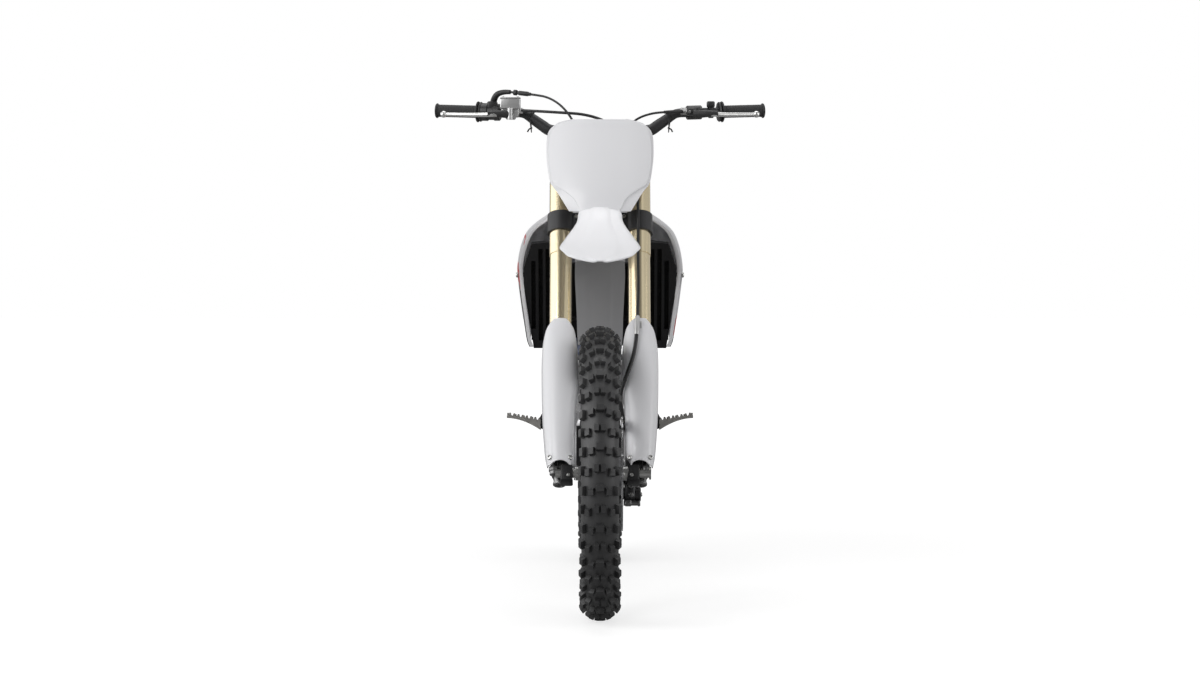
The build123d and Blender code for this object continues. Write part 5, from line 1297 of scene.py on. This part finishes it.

# Thin black sheets stand between each radiator and the frame, beside the fender's flap, as painted shade in the gap
# behind.
shade_sheets = []
for side in (-1, 1):
    shade_sheets.append(block(at(side * 0.046, 0.590, 0.752), (0.0560, 0.0030, 0.2500), 0.001))
made = piece("radiator_ducts", joined(shade_sheets), black_plastic, 30)
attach(made, "chassis")

# ---------------------------------------------------------------- shrouds
# Thin white mouldings bolted to the radiators, with printed film on the outside: a black lower
# part, a red band that sweeps up to the rear, and a thin red line above it.

SHROUD = [(0.626, (0.175, 0.516), (0.177, 0.540), (0.174, 0.565)), (0.644, (0.181, 0.510), (0.184, 0.550), (0.178, 0.592)),
          (0.694, (0.188, 0.500), (0.192, 0.570), (0.166, 0.645)), (0.744, (0.195, 0.492), (0.199, 0.588), (0.148, 0.705)),
          (0.806, (0.201, 0.486), (0.206, 0.596), (0.128, 0.782)), (0.839, (0.200, 0.484), (0.205, 0.598), (0.118, 0.818)),
          (0.881, (0.190, 0.484), (0.197, 0.598), (0.108, 0.845)), (0.916, (0.172, 0.488), (0.182, 0.590), (0.100, 0.858)),
          (0.940, (0.142, 0.500), (0.158, 0.590), (0.096, 0.862)), (0.964, (0.104, 0.526), (0.124, 0.600), (0.092, 0.850))]


def striped(name, outside, stripes, sweep):
    """White moulding with printed bands: (low, high, colour) heights that climb to the rear on its outside."""
    material = finish(name, (0.78, 0.78, 0.80), 0.30, drift=0.004, drift_size=0.25, grain=0.02, coat=0.3, worn=0.008)
    tree = material.node_tree
    shader = tree.nodes["Principled BSDF"]
    place = node(tree, "ShaderNodeTexCoord")
    parts = node(tree, "ShaderNodeSeparateXYZ")
    climb = node(tree, "ShaderNodeMath", operation="MULTIPLY_ADD", values={1: -sweep})
    facing = node(tree, "ShaderNodeNewGeometry")
    facing_parts = node(tree, "ShaderNodeSeparateXYZ")
    outer = node(tree, "ShaderNodeMath", operation="MULTIPLY", values={1: outside})
    on_outside = node(tree, "ShaderNodeMath", operation="GREATER_THAN", values={1: 0.12})
    link(tree, place, "Object", parts, 0)
    link(tree, parts, "Y", climb, 0)
    link(tree, parts, "Z", climb, 2)
    link(tree, facing, "True Normal", facing_parts, 0)
    link(tree, facing_parts, "X", outer, 0)
    link(tree, outer, 0, on_outside, 0)
    last = shader.inputs["Base Color"].links[0].from_node
    for low, high, colour in stripes:
        band = node(tree, "ShaderNodeMath", operation="COMPARE", values={1: (low + high) / 2, 2: (high - low) / 2})
        shown = node(tree, "ShaderNodeMath", operation="MULTIPLY")
        paint = node(tree, "ShaderNodeMix", data_type="RGBA")
        paint.inputs[7].default_value = (*colour, 1)
        link(tree, climb, 0, band, 0)
        link(tree, band, 0, shown, 0)
        link(tree, on_outside, 0, shown, 1)
        link(tree, shown, 0, paint, 0)
        link(tree, last, 2, paint, 6)
        last = paint
    link(tree, last, 2, shader, "Base Color")
    return material


RED = (0.62, 0.020, 0.022)
BLACK = (0.018, 0.018, 0.020)
GREY = (0.42, 0.42, 0.44)
FRONT_EDGE = at(0, 0.486, 0)
SWEEP = 0.28


def stripe(low, high, colour):
    """A printed band by its heights above the floor at the shroud's front edge."""
    return (low + GROUND.z - SWEEP * FRONT_EDGE.y, high + GROUND.z - SWEEP * FRONT_EDGE.y, colour)


right_print = striped("shroud_print_right", -1, [stripe(0.40, 0.762, BLACK), stripe(0.768, 0.818, RED),
                                                 stripe(0.880, 0.888, RED)], SWEEP)
left_print = striped("shroud_print_left", 1, [stripe(0.30, 0.640, BLACK), stripe(0.646, 0.690, RED),
                                              stripe(0.770, 0.800, GREY)], SWEEP)
for side, name, skin in ((1, "left", left_print), (-1, "right", right_print)):
    rows = []
    for z, front, wide, rear in SHROUD:
        lip = (front[0] - 0.009, front[1] + 0.001)
        entry = ((front[0] + wide[0]) / 2 + 0.001, (front[1] + wide[1]) / 2)
        middle = ((wide[0] + rear[0]) / 2 + (wide[0] - rear[0]) * 0.12, (wide[1] + rear[1]) / 2)
        line = through([front, entry, wide, middle, rear], 25) if False else \
            through([Vector((*place, 0)) for place in (front, entry, wide, middle, rear)], 25)
        rows.append([at(side * lip[0], lip[1], z)] + [at(side * place.x, place.y, z) for place in line])
    made = panel("shroud_skin_" + name, smooth_columns(rows, 48), skin, "chassis", (side, 0, 0))
    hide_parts("shroud_" + name)
shroud_screws = []
for side in (-1, 1):
    shroud_screws.append((at(side * 0.2045, 0.522, 0.806), (side, 0, 0), 0.0065))
    shroud_screws.append((at(side * 0.1830, 0.528, 0.672), (side, -0.1, 0), 0.0055))
    shroud_screws.append((at(side * 0.1080, 0.815, 0.900), (side, 0.35, 0.3), 0.0065))
screws("shroud_screws", "chassis", shroud_screws, zinc)
bosses = [lathe([(0.0, 0.0), (0.0, 0.0060), (0.0295, 0.0060), (0.0295, 0.0)], at(side * 0.1723, 0.522, 0.806),
                (side, 0, 0), 16) for side in (-1, 1)]
made = piece("shroud_bosses", joined(bosses), black_plastic, 30)
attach(made, "chassis")

# ---------------------------------------------------------------- footpegs
# Cleated steel pegs, investment cast: two side rails that taper to the tip, cross bars and sharp
# teeth along the top, folding on a pin in a clevis bolted to each side of the frame.

PEG_ROOT = 0.156
PEG_TIP = 0.245
PEG_Y = 0.932
TEETH = 8
peg_steel = finish("peg_steel", (0.42, 0.41, 0.39), 0.42, metal=0.9, drift=0.10, drift_size=0.02, grain=0.25,
                   grain_size=0.0008)


def peg_top(x):
    """The height of a peg's top edge, which climbs to the tip."""
    return 0.4185 + 0.0150 * (x - PEG_ROOT) / (PEG_TIP - PEG_ROOT)


def peg_foot(x):
    """The height of a peg's lower edge, which sweeps up from the hinge to the tip."""
    return 0.4260 - 0.0320 * max(0.0, (PEG_TIP - x) / (PEG_TIP - PEG_ROOT)) ** 1.9


def wedge(corners, depth):
    """A flat plate from an outline in the X-Z plane, with its thickness along Y about each corner's y."""
    bm = bmesh.new()
    near = [bm.verts.new(at(x, y - depth / 2, z)) for x, y, z in corners]
    far = [bm.verts.new(at(x, y + depth / 2, z)) for x, y, z in corners]
    bm.faces.new(near)
    bm.faces.new(far[::-1])
    for k in range(len(corners)):
        j = (k + 1) % len(corners)
        bm.faces.new((near[k], far[k], far[j], near[j]))
    bmesh.ops.triangulate(bm, faces=bm.faces)
    return as_mesh(bm)


parts = []
pitch = (PEG_TIP - PEG_ROOT) / TEETH
for y in (PEG_Y - 0.0205, PEG_Y + 0.0205):
    for k in range(TEETH):
        x = PEG_ROOT + k * pitch
        peak = peg_top(x) + 0.0065
        parts.append(wedge([(x, y, peg_foot(x)), (x, y, peg_top(x)), (x + 0.12 * pitch, y, peak),
                            (x + 0.50 * pitch, y, peak), (x + 0.78 * pitch, y, peg_top(x)),
                            (x + pitch, y, peg_top(x + pitch)), (x + pitch, y, peg_foot(x + pitch))], 0.0045))
for x in (0.1580, 0.1780, 0.2000, 0.2220, 0.2425):
    drop = peg_top(x) - peg_foot(x) - 0.001
    parts.append(block(at(x, PEG_Y, peg_top(x) - drop / 2), (0.0045, 0.0400, drop), 0.0008))
    parts.append(wedge([(x - 0.0022, PEG_Y, peg_top(x) - 0.001), (x - 0.0022, PEG_Y, peg_top(x) + 0.0055),
                        (x + 0.0022, PEG_Y, peg_top(x) + 0.0055), (x + 0.0022, PEG_Y, peg_top(x) - 0.001)], 0.010))
left_peg = joined(parts)
pegs = piece("peg_pair", joined([left_peg, mirrored(left_peg)]), peg_steel, 25)
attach(pegs, "chassis")
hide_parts("footpegs")
mount = joined([wedge([(0.1045, PEG_Y, 0.390), (0.1045, PEG_Y, 0.446), (0.1480, PEG_Y, 0.446),
                       (0.1600, PEG_Y, 0.424), (0.1560, PEG_Y, 0.398), (0.1300, PEG_Y, 0.390)], 0.030),
                lathe([(-0.026, 0.0), (-0.026, 0.0060), (0.026, 0.0060), (0.026, 0.0)], at(0.151, PEG_Y, 0.408),
                      (0, 1, 0), 16)])
mounts = piece("peg_mounts", joined([mount, mirrored(mount)]), black_plastic, 30)
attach(mounts, "chassis")

# ---------------------------------------------------------------- frame
# Twin-spar aluminium frame: bead-blasted forgings and pressed spars welded together, with a bolted
# subframe in the same alloy and a thin black skid plate under the engine.

frame_alloy = finish("frame_alloy", (0.62, 0.62, 0.63), 0.42, metal=1.0, drift=0.06, drift_size=0.08, grain=0.30,
                     grain_size=0.0014, worn=0.04)
for name in ("main_frame", "cradle", "subframe"):
    wear(name, frame_alloy)
wear("skid_plate", black_plastic)
frame_bolts = []
for side in (-1, 1):
    for y, z, radius in ((0.888, 0.470, 0.0070), (0.918, 0.352, 0.0070), (0.930, 0.440, 0.0050)):
        frame_bolts.append((at(side * 0.1037, y, z), (side, 0, 0), radius))
    frame_bolts.append((at(side * 0.1065, 0.905, 0.395), (side, 0, 0), 0.0135))
    frame_bolts.append((at(side * 0.0780, 0.775, 0.765), (side, 0, 0), 0.0105))
    for z in (-0.070, 0.070):
        frame_bolts.append((on_radiator(side * 0.1725, 0.002, z * 1.1), (side, 0, 0), 0.0045))
screws("frame_bolts", "chassis", frame_bolts, zinc)
skid_bolts = [(at(x, y, 0.3090), (0, 0, -1), 0.0055) for x in (-0.042, 0.042) for y in (0.680, 0.835)]
skid_bolts += [(at(x, 0.6030, 0.3810), (0, -0.9, -0.4), 0.0055) for x in (-0.040, 0.040)]
screws("skid_bolts", "chassis", skid_bolts, zinc)

# ---------------------------------------------------------------- engine
# A single-cylinder four-stroke: sand-cast cases with rounded clutch and ignition covers, each held
# by a ring of small bolts, a plain barrel and a squarer head with its own cover.

engine_alloy = finish("engine_alloy", (0.36, 0.36, 0.37), 0.48, metal=0.9, drift=0.08, drift_size=0.04, grain=0.35,
                      grain_size=0.0011)
cover_alloy = finish("cover_alloy", (0.22, 0.215, 0.21), 0.36, metal=1.0, drift=0.06, grain=0.12)
wear("engine_cases", engine_alloy)
wear("cylinder", engine_alloy)


def cover(name, x, y, z, radius, side, holes):
    """A round engine cover: a stepped dish laid over the cast boss, with screws in small ears."""
    dish = [(-0.004, radius - 0.0005), (0.0, radius - 0.0005), (0.0, radius - 0.006), (0.0, radius * 0.70),
            (0.0, 0.0)]
    centre = at(x, y, z)
    made = piece(name, lathe([(a + 0.0, r) for a, r in dish], centre, (side, 0, 0), 48), cover_alloy, 30)
    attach(made, "chassis")
    places = []
    for k in range(holes):
        turn = 2 * math.pi * (k + 0.3) / holes
        places.append((centre + Vector((-side * 0.0010, (radius - 0.0065) * math.cos(turn),
                                        (radius - 0.0065) * math.sin(turn))), (side, 0, 0), 0.0035))
    return places


cover_screws = cover("clutch_cover", -0.1139, 0.792, 0.405, 0.060, -1, 8)
cover_screws += cover("kick_cover", -0.1079, 0.700, 0.400, 0.050, -1, 6)
cover_screws += cover("ignition_cover", 0.0959, 0.718, 0.405, 0.056, 1, 7)
for side in (-1, 1):
    for y in (0.655, 0.745):
        for z in (0.640, 0.715):
            cover_screws.append((at(side * 0.0595, y, z), (side, 0, 0), 0.0045))
screws("engine_screws", "chassis", cover_screws, zinc)
lines = []
for side in (-1, 1):
    for z in (0.500, 0.530, 0.560, 0.590, 0.618):
        lines.append(block(at(side * 0.0522, 0.700, z), (0.0016, 0.090, 0.006), 0.0006))
ribs = piece("barrel_ribs", joined(lines), engine_alloy, 30)
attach(ribs, "chassis")

# ---------------------------------------------------------------- exhaust
# A stainless header, straw and blue from heat near the head, slides into a brushed alloy silencer
# with a riveted black end cap and a strap to the subframe.

header_steel = finish("header_steel", (0.52, 0.48, 0.43), 0.30, metal=1.0, drift=0.10, drift_size=0.03, grain=0.08)
tree = header_steel.node_tree
place = node(tree, "ShaderNodeTexCoord")
parts = node(tree, "ShaderNodeSeparateXYZ")
heat = node(tree, "ShaderNodeMapRange", values={"From Min": at(0, 0.60, 0).y, "From Max": at(0, 0.95, 0).y})
tint = node(tree, "ShaderNodeValToRGB")
for position, colour in ((0.25, (0.46, 0.34, 0.30, 1)), (0.55, (0.60, 0.47, 0.30, 1))):
    stop = tint.color_ramp.elements.new(position)
    stop.color = colour
tint.color_ramp.elements[0].color = (0.30, 0.34, 0.48, 1)
tint.color_ramp.elements[-1].color = (0.60, 0.57, 0.53, 1)
link(tree, place, "Object", parts, 0)
link(tree, parts, "Y", heat, "Value")
link(tree, heat, 0, tint, 0)
link(tree, tint, 0, tree.nodes["Principled BSDF"], "Base Color")
wear("exhaust_header", header_steel)
silencer_alloy = banded(finish("silencer_alloy", (0.62, 0.62, 0.63), 0.34, metal=1.0, drift=0.05, grain=0.10, worn=0.03),
                        "Y", 0.0016, 0.00006)
wear("silencer", silencer_alloy)
SILENCER_LOW = at(-0.104, 1.079, 0.7334)
SILENCER_HIGH = at(-0.104, 1.425, 0.822)
silencer_axis = (SILENCER_HIGH - SILENCER_LOW).normalized()
silencer_length = (SILENCER_HIGH - SILENCER_LOW).length
caps = [lathe([(0.0285, 0.0280), (0.0290, 0.0402), (0.0440, 0.0402), (0.0440, 0.0395), (0.0285, 0.0395)],
              SILENCER_LOW, silencer_axis, 48, True),
        lathe([(silencer_length - 0.0440, 0.0395), (silencer_length - 0.0440, 0.0402),
               (silencer_length - 0.0280, 0.0402), (silencer_length - 0.0270, 0.0310),
               (silencer_length - 0.0030, 0.0302), (silencer_length + 0.0003, 0.0285),
               (silencer_length + 0.0003, 0.0185), (silencer_length - 0.0280, 0.0185)], SILENCER_LOW, silencer_axis,
              48, True)]
caps = piece("silencer_caps", joined(caps), control_black, 30)
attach(caps, "chassis")
side_way = silencer_axis.orthogonal().normalized()
rivets = []
for along in (0.0365, silencer_length - 0.0365):
    for k in range(10):
        out = Matrix.Rotation(2 * math.pi * k / 10, 3, silencer_axis) @ side_way
        rivets.append((SILENCER_LOW + silencer_axis * along + out * 0.0398, out, 0.0022))
screws("silencer_rivets", "chassis", rivets, zinc)

# ---------------------------------------------------------------- tank, seat, airbox
# The black moulded tank sits between the spars with a ribbed cap on top. The seat is moulded foam
# under a tight gripper cover, with a ribbed top panel sewn to plain sides by two raised seams.

tank_plastic = finish("tank_plastic", (0.022, 0.022, 0.024), 0.40, drift=0.08, drift_size=0.05, grain=0.15)
wear("fuel_tank", tank_plastic)
wear("airbox", black_plastic)
cap_parts = [lathe([(-0.004, 0.0), (-0.004, 0.0295), (0.0020, 0.0300), (0.0045, 0.0270), (0.0050, 0.0100), (0.0080, 0.0090),
                    (0.0080, 0.0)], at(0, 0.572, 1.0325), (0, 0, 1), 48)]
for k in range(16):
    turn = 2 * math.pi * k / 16
    cap_parts.append(block(at(0.0293 * math.cos(turn), 0.572 + 0.0293 * math.sin(turn), 1.024), (0.0035, 0.0035, 0.018),
                           0.0010, Matrix.Rotation(turn, 3, "Z")))
cap = piece("tank_cap", joined(cap_parts), black_plastic, 30)
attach(cap, "chassis")

SEAT = [(0.614, 0.987, 1.012, 0.040), (0.640, 0.974, 1.007, 0.047), (0.700, 0.935, 0.989, 0.060),
        (0.765, 0.905, 0.973, 0.071), (0.830, 0.889, 0.962, 0.079), (0.985, 0.885, 0.955, 0.083),
        (1.130, 0.892, 0.963, 0.079), (1.250, 0.928, 0.979, 0.073), (1.310, 0.955, 0.987, 0.065),
        (1.328, 0.964, 0.987, 0.056)]
SEAM = 0.58
seat_cover = finish("seat_cover", (0.030, 0.030, 0.032), 0.78, drift=0.12, drift_size=0.03, grain=0.5,
                    grain_size=0.0018, worn=0.08)
ROUND = 48
bm = bmesh.new()
rings = []
for row in through(SEAT, 96):
    y, low, high, half = row
    ring = []
    for k in range(ROUND):
        turn = 2 * math.pi * k / ROUND
        c, s = math.cos(turn), math.sin(turn)
        x = half * math.copysign(abs(c) ** 0.55, c)
        lift = math.copysign(abs(s) ** (0.62 if s > 0 else 0.30), s)
        z = (low + high) / 2 + (high - low) / 2 * lift
        if s > 0:
            z -= 0.0025 * (1 - abs(x) / half) ** 0 * 0
            ribbed = abs(x) < SEAM * half
            z += -0.0012 if not ribbed else 0.0009 * max(0.0, math.sin(2 * math.pi * y / 0.016))
            if abs(abs(x) / half - SEAM) < 0.05:
                z -= 0.0016
        ring.append(bm.verts.new(at(x, y, z)))
    rings.append(ring)
for a, b in zip(rings, rings[1:]):
    for k in range(ROUND):
        bm.faces.new((a[k], a[(k + 1) % ROUND], b[(k + 1) % ROUND], b[k]))
bm.faces.new(rings[0][::-1])
bm.faces.new(rings[-1])
seat = piece("seat_pad", as_mesh(bm), seat_cover, 60)
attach(seat, "chassis")
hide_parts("seat")
stitch = finish("stitch_grey", (0.10, 0.10, 0.105), 0.7, drift=0.1, grain=0.3)
seams = []
for side in (-1, 1):
    line = [at(side * SEAM * half, y, (low + high) / 2 + (high - low) / 2 * (1 - SEAM ** 3.64) ** 0.31 - 0.0006)
            for y, low, high, half in through(SEAT, 60)]
    seams.append(limb(line, [(0.0012, 0.0012)] * len(line), Vector((0, 0, 1)), 6))
seams = piece("seat_seams", joined(seams), stitch, 60)
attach(seams, "chassis")

# ---------------------------------------------------------------- side panels and rear fender
# White mouldings either side of the airbox with a number field each, and the long rear fender that
# bolts up under the tail of the seat.

SIDE = [(0.704, (0.147, 0.990), (0.154, 1.070), (0.149, 1.150)), (0.742, (0.151, 0.945), (0.163, 1.090), (0.156, 1.215)),
        (0.790, (0.142, 0.900), (0.163, 1.090), (0.153, 1.262)), (0.840, (0.118, 0.872), (0.146, 1.080), (0.136, 1.290)),
        (0.878, (0.096, 0.856), (0.114, 1.080), (0.104, 1.300))]
panel_bolts = []
for side, name in ((1, "left"), (-1, "right")):
    rows = []
    for z, front, wide, rear in SIDE:
        middle = [((a[0] + b[0]) / 2 + 0.0015, (a[1] + b[1]) / 2) for a, b in ((front, wide), (wide, rear))]
        line = through([Vector((*place, 0)) for place in (front, middle[0], wide, middle[1], rear)], 25)
        rows.append([at(side * place.x, place.y, z) for place in line])
    skin = panel("side_skin_" + name, smooth_columns(rows, 32), white_plastic, "chassis", (side, 0, 0))
    if side > 0:
        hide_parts("side_panels")
    for x, y, z in ((0.1115, 0.985, 0.8715), (0.1545, 1.140, 0.760)):
        panel_bolts.append((at(side * x, y, z), (side, 0, 0.25), 0.0065))
side_bosses = [lathe([(0.0, 0.0), (0.0, 0.0060), (0.036, 0.0060), (0.036, 0.0)], at(side * 0.0708, 0.985, 0.8714),
                     (side, 0, 0), 16) for side in (-1, 1)]
made = piece("side_bosses", joined(side_bosses), black_plastic, 30)
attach(made, "chassis")

TAIL = [(1.200, 0.893, 0.072, -0.006, 14, 0.5), (1.262, 0.912, 0.084, -0.010, 20, 0.5), (1.340, 0.944, 0.088, -0.014, 20, 0.5),
        (1.440, 0.972, 0.084, -0.012, 12, 0.48), (1.560, 0.988, 0.076, -0.010, 5, 0.45), (1.680, 0.990, 0.066, -0.008, -3, 0.42),
        (1.770, 0.982, 0.054, -0.006, -7, 0.40), (1.808, 0.976, 0.040, -0.004, -9, 0.40)]
tail = panel("tail_fender", smooth_columns(fender_rows(TAIL, 0.0022, 0.0030), 60), white_plastic, "chassis",
             (0, 0, 1))
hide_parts("rear_fender")
panel_bolts += [(at(side * 0.052, y, z), (0, -0.2, 1), 0.0065) for side in (-1, 1)
                for y, z in ((1.360, 0.9445), (1.222, 0.894))]
screws("panel_bolts", "chassis", panel_bolts, zinc)

# ---------------------------------------------------------------- swingarm, shock and linkage
# Forged and extruded alloy swingarm with axle blocks and chain adjusters, a coil-over shock in the
# middle on a rocker, and the rear caliper on its carrier inside the right leg.

wear("swingarm", frame_alloy)
wear("shock_linkage", engine_alloy)
wear("rear_axle", axle_steel)
wear("rear_caliper", caliper_black)
adjusters = []
for side in (-1, 1):
    adjusters.append((at(side * 0.109, 1.5315, 0.337), (0, 1, 0), 0.0055))
    adjusters.append((at(side * 0.1215, 1.440, 0.342), (side, 0, 0), 0.0050))
    adjusters.append((at(side * 0.1215, 1.400, 0.345), (side, 0, 0), 0.0050))
screws("swingarm_bolts", "chassis", adjusters, zinc)
low, high = (Vector(corner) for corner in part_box("rear_caliper"))
guide_parts = [block(at(x, 1.350, 0.252), (0.0030, 0.110, 0.030), 0.0008) for x in (0.0640, 0.0880)]
guide_parts.append(block(at(0.076, 1.350, 0.2765), (0.0270, 0.110, 0.006), 0.0015))
guide_parts.append(block(at(0.090, 1.345, 0.296), (0.010, 0.040, 0.044), 0.0015))
made = piece("chain_guide", joined(guide_parts), black_plastic, 30)
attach(made, "chassis")

SHOCK_TOP = at(0, 0.775, 0.765)
SHOCK_FOOT = at(0, 0.955, 0.345)
shock_way = (SHOCK_FOOT - SHOCK_TOP).normalized()
shock_length = (SHOCK_FOOT - SHOCK_TOP).length
damper = [lathe([(0.008, 0.0), (0.008, 0.0220), (0.012, 0.0255), (0.078, 0.0255), (0.080, 0.0360), (0.087, 0.0360),
                 (0.088, 0.0240), (0.190, 0.0235), (0.194, 0.0200), (0.194, 0.0080), (0.300, 0.0080), (0.302, 0.0350),
                 (0.309, 0.0360), (0.311, 0.0200), (0.320, 0.0095), (shock_length - 0.014, 0.0095),
                 (shock_length - 0.014, 0.0)], SHOCK_TOP, shock_way, 40),
          lathe([(-0.0148, 0.0083), (-0.0148, 0.0165), (0.0148, 0.0165), (0.0148, 0.0083)], SHOCK_TOP, (1, 0, 0), 32, True),
          lathe([(-0.0140, 0.0), (-0.0140, 0.0145), (0.0140, 0.0145), (0.0140, 0.0)], SHOCK_FOOT, (1, 0, 0), 32)]
damper = piece("shock_body", joined(damper), axle_steel, 35)
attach(damper, "chassis")
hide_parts("rear_shock")
SPRING_TURNS = 8.0
COIL_LOW, COIL_HIGH = 0.0925, 0.2965
coil = []
side_way = Vector((1, 0, 0))
other_way = shock_way.cross(side_way)
steps = int(SPRING_TURNS * 22)
for k in range(steps + 1):
    turn = 2 * math.pi * SPRING_TURNS * k / steps
    coil.append(SHOCK_TOP + shock_way * (COIL_LOW + (COIL_HIGH - COIL_LOW) * k / steps)
                + side_way * (0.0305 * math.cos(turn)) + other_way * (0.0305 * math.sin(turn)))
spring_paint = finish("spring_paint", (0.13, 0.13, 0.14), 0.34, metal=0.3, drift=0.06, grain=0.10, coat=0.3)
spring = piece("shock_spring", limb(coil, [(0.0055, 0.0055)] * len(coil), shock_way, 10), spring_paint, 60)
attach(spring, "chassis")

# ---------------------------------------------------------------- chain, pedal and shift lever
# A roller chain of pressed plates on hardened rollers, round both sprockets; the forged brake pedal
# has a cleated tip and the shift lever a rubber sleeve.

chain_steel = finish("chain_steel", (0.30, 0.28, 0.24), 0.36, metal=1.0, drift=0.10, drift_size=0.02, grain=0.08)
CHAIN_X = 0.076
CHAIN_PITCH = 0.015875
DRIVE = (at(CHAIN_X, 0.845, 0.400), 0.0332)
DRIVEN = (Vector((GROUND.x + CHAIN_X, rear_axle.y, rear_axle.z)), 0.1214)


def chain_way(count):
    """Evenly spaced (place, direction) pairs round both sprockets, and the length of the whole loop."""
    gap = DRIVEN[0] - DRIVE[0]
    lean = math.atan2(gap.z, gap.y)
    wrap = math.asin((DRIVEN[1] - DRIVE[1]) / gap.length)
    run = math.sqrt(gap.length ** 2 - (DRIVEN[1] - DRIVE[1]) ** 2)
    arcs = ((DRIVE[1] * (math.pi - 2 * wrap)), run, DRIVEN[1] * (math.pi + 2 * wrap), run)
    total = sum(arcs)

    def out(turn):
        return Vector((0, math.cos(turn), math.sin(turn)))

    upper = lean + math.pi / 2 + wrap
    lower = lean - math.pi / 2 - wrap
    made = []
    for k in range(count):
        along = total * k / count
        if along < arcs[0]:
            turn = upper + math.pi - 2 * wrap - (math.pi - 2 * wrap) * 0 - along / DRIVE[1] * -1 * 0
            turn = upper + (math.pi - 2 * wrap) * along / arcs[0]
            made.append((DRIVE[0] + out(turn) * DRIVE[1], out(turn + math.pi / 2)))
        elif along < arcs[0] + arcs[1]:
            step = along - arcs[0]
            start = DRIVE[0] + out(lower) * DRIVE[1]
            end = DRIVEN[0] + out(lower) * DRIVEN[1]
            way = (end - start).normalized()
            made.append((start + way * step, way))
        elif along < arcs[0] + arcs[1] + arcs[2]:
            turn = lower + (along - arcs[0] - arcs[1]) / DRIVEN[1]
            made.append((DRIVEN[0] + out(turn) * DRIVEN[1], out(turn + math.pi / 2)))
        else:
            step = along - arcs[0] - arcs[1] - arcs[2]
            start = DRIVEN[0] + out(upper) * DRIVEN[1]
            end = DRIVE[0] + out(upper) * DRIVE[1]
            way = (end - start).normalized()
            made.append((start + way * step, way))
    return made, total


def link_plate(x, thick, length):
    """One pressed side plate, waisted between its two rivets, in the link's own frame along Y."""
    bm = bmesh.new()
    outline = []
    for k in range(16):
        turn = math.pi * (k + 0.5) / 8
        y = 0.0048 * math.cos(turn) + math.copysign(length / 2, math.cos(turn))
        z = 0.0048 * math.sin(turn) * (0.82 if abs(math.cos(turn)) < 0.35 else 1.0)
        outline.append((y, z))
    near = [bm.verts.new((x - thick / 2, y, z)) for y, z in outline]
    far = [bm.verts.new((x + thick / 2, y, z)) for y, z in outline]
    bm.faces.new(near)
    bm.faces.new(far[::-1])
    for k in range(16):
        j = (k + 1) % 16
        bm.faces.new((near[k], far[k], far[j], near[j]))
    return as_mesh(bm)


whole = chain_way(4)[1]
links = 2 * round(whole / CHAIN_PITCH / 2)
way = chain_way(links)[0]
pitch = whole / links
inner = [link_plate(side * 0.0042, 0.0018, pitch * 0.93) for side in (-1, 1)]
outer = [link_plate(side * 0.0062, 0.0018, pitch * 0.93) for side in (-1, 1)]
pins = []
for y in (-pitch / 2, pitch / 2):
    pins.append(lathe([(-0.0078, 0.0), (-0.0078, 0.0022), (0.0078, 0.0022), (0.0078, 0.0)], (0, y, 0), (1, 0, 0), 8))
    pins.append(lathe([(-0.0033, 0.0), (-0.0033, 0.0046), (0.0033, 0.0046), (0.0033, 0.0)], (0, y, 0), (1, 0, 0), 10))
chain_inner = set_out("chain_inner", "chassis", [(place, facing, 1.0) for place, facing in way[0::2]],
                      piece("inner_link", joined(inner), chain_steel, 30), chain_steel, "Y", "X")
chain_outer = set_out("chain_outer", "chassis", [(place, facing, 1.0) for place, facing in way[1::2]],
                      piece("outer_link", joined(outer + pins), chain_steel, 30), chain_steel, "Y", "X")
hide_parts("drive_chain")


def toothed(centre, width, teeth, tip, root, bore):
    """A toothed wheel on the X axis."""
    bm = bmesh.new()
    steps = teeth * 4
    rings = []
    for x, inside in ((-width / 2, True), (-width / 2, False), (width / 2, False), (width / 2, True)):
        ring = []
        for k in range(steps):
            turn = 2 * math.pi * k / steps
            radius = bore if inside else (tip if k % 4 in (0, 1) else root)
            ring.append(bm.verts.new(centre + Vector((x, radius * math.cos(turn), radius * math.sin(turn)))))
        rings.append(ring)
    for a, b in zip(rings, rings[1:] + rings[:1]):
        for k in range(steps):
            bm.faces.new((a[k], a[(k + 1) % steps], b[(k + 1) % steps], b[k]))
    return as_mesh(bm)


drive = [toothed(DRIVE[0], 0.0050, 13, 0.0300, 0.0272, 0.0100),
         lathe([(-0.0155, 0.0), (-0.0155, 0.0118), (0.0030, 0.0118), (0.0045, 0.0100), (0.0045, 0.0)], DRIVE[0], (1, 0, 0),
               24)]
made = piece("drive_sprocket", joined(drive), sprocket_alloy, 30)
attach(made, "chassis")

wear("brake_pedal", engine_alloy)
wear("shift_lever", engine_alloy)
cleats = [block(at(-0.129, 0.744 + dy, 0.3800), (0.018, 0.0035, 0.0035), 0.0008) for dy in (-0.006, 0.0, 0.006)]
made = piece("pedal_cleats", joined(cleats), zinc, 30)
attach(made, "chassis")
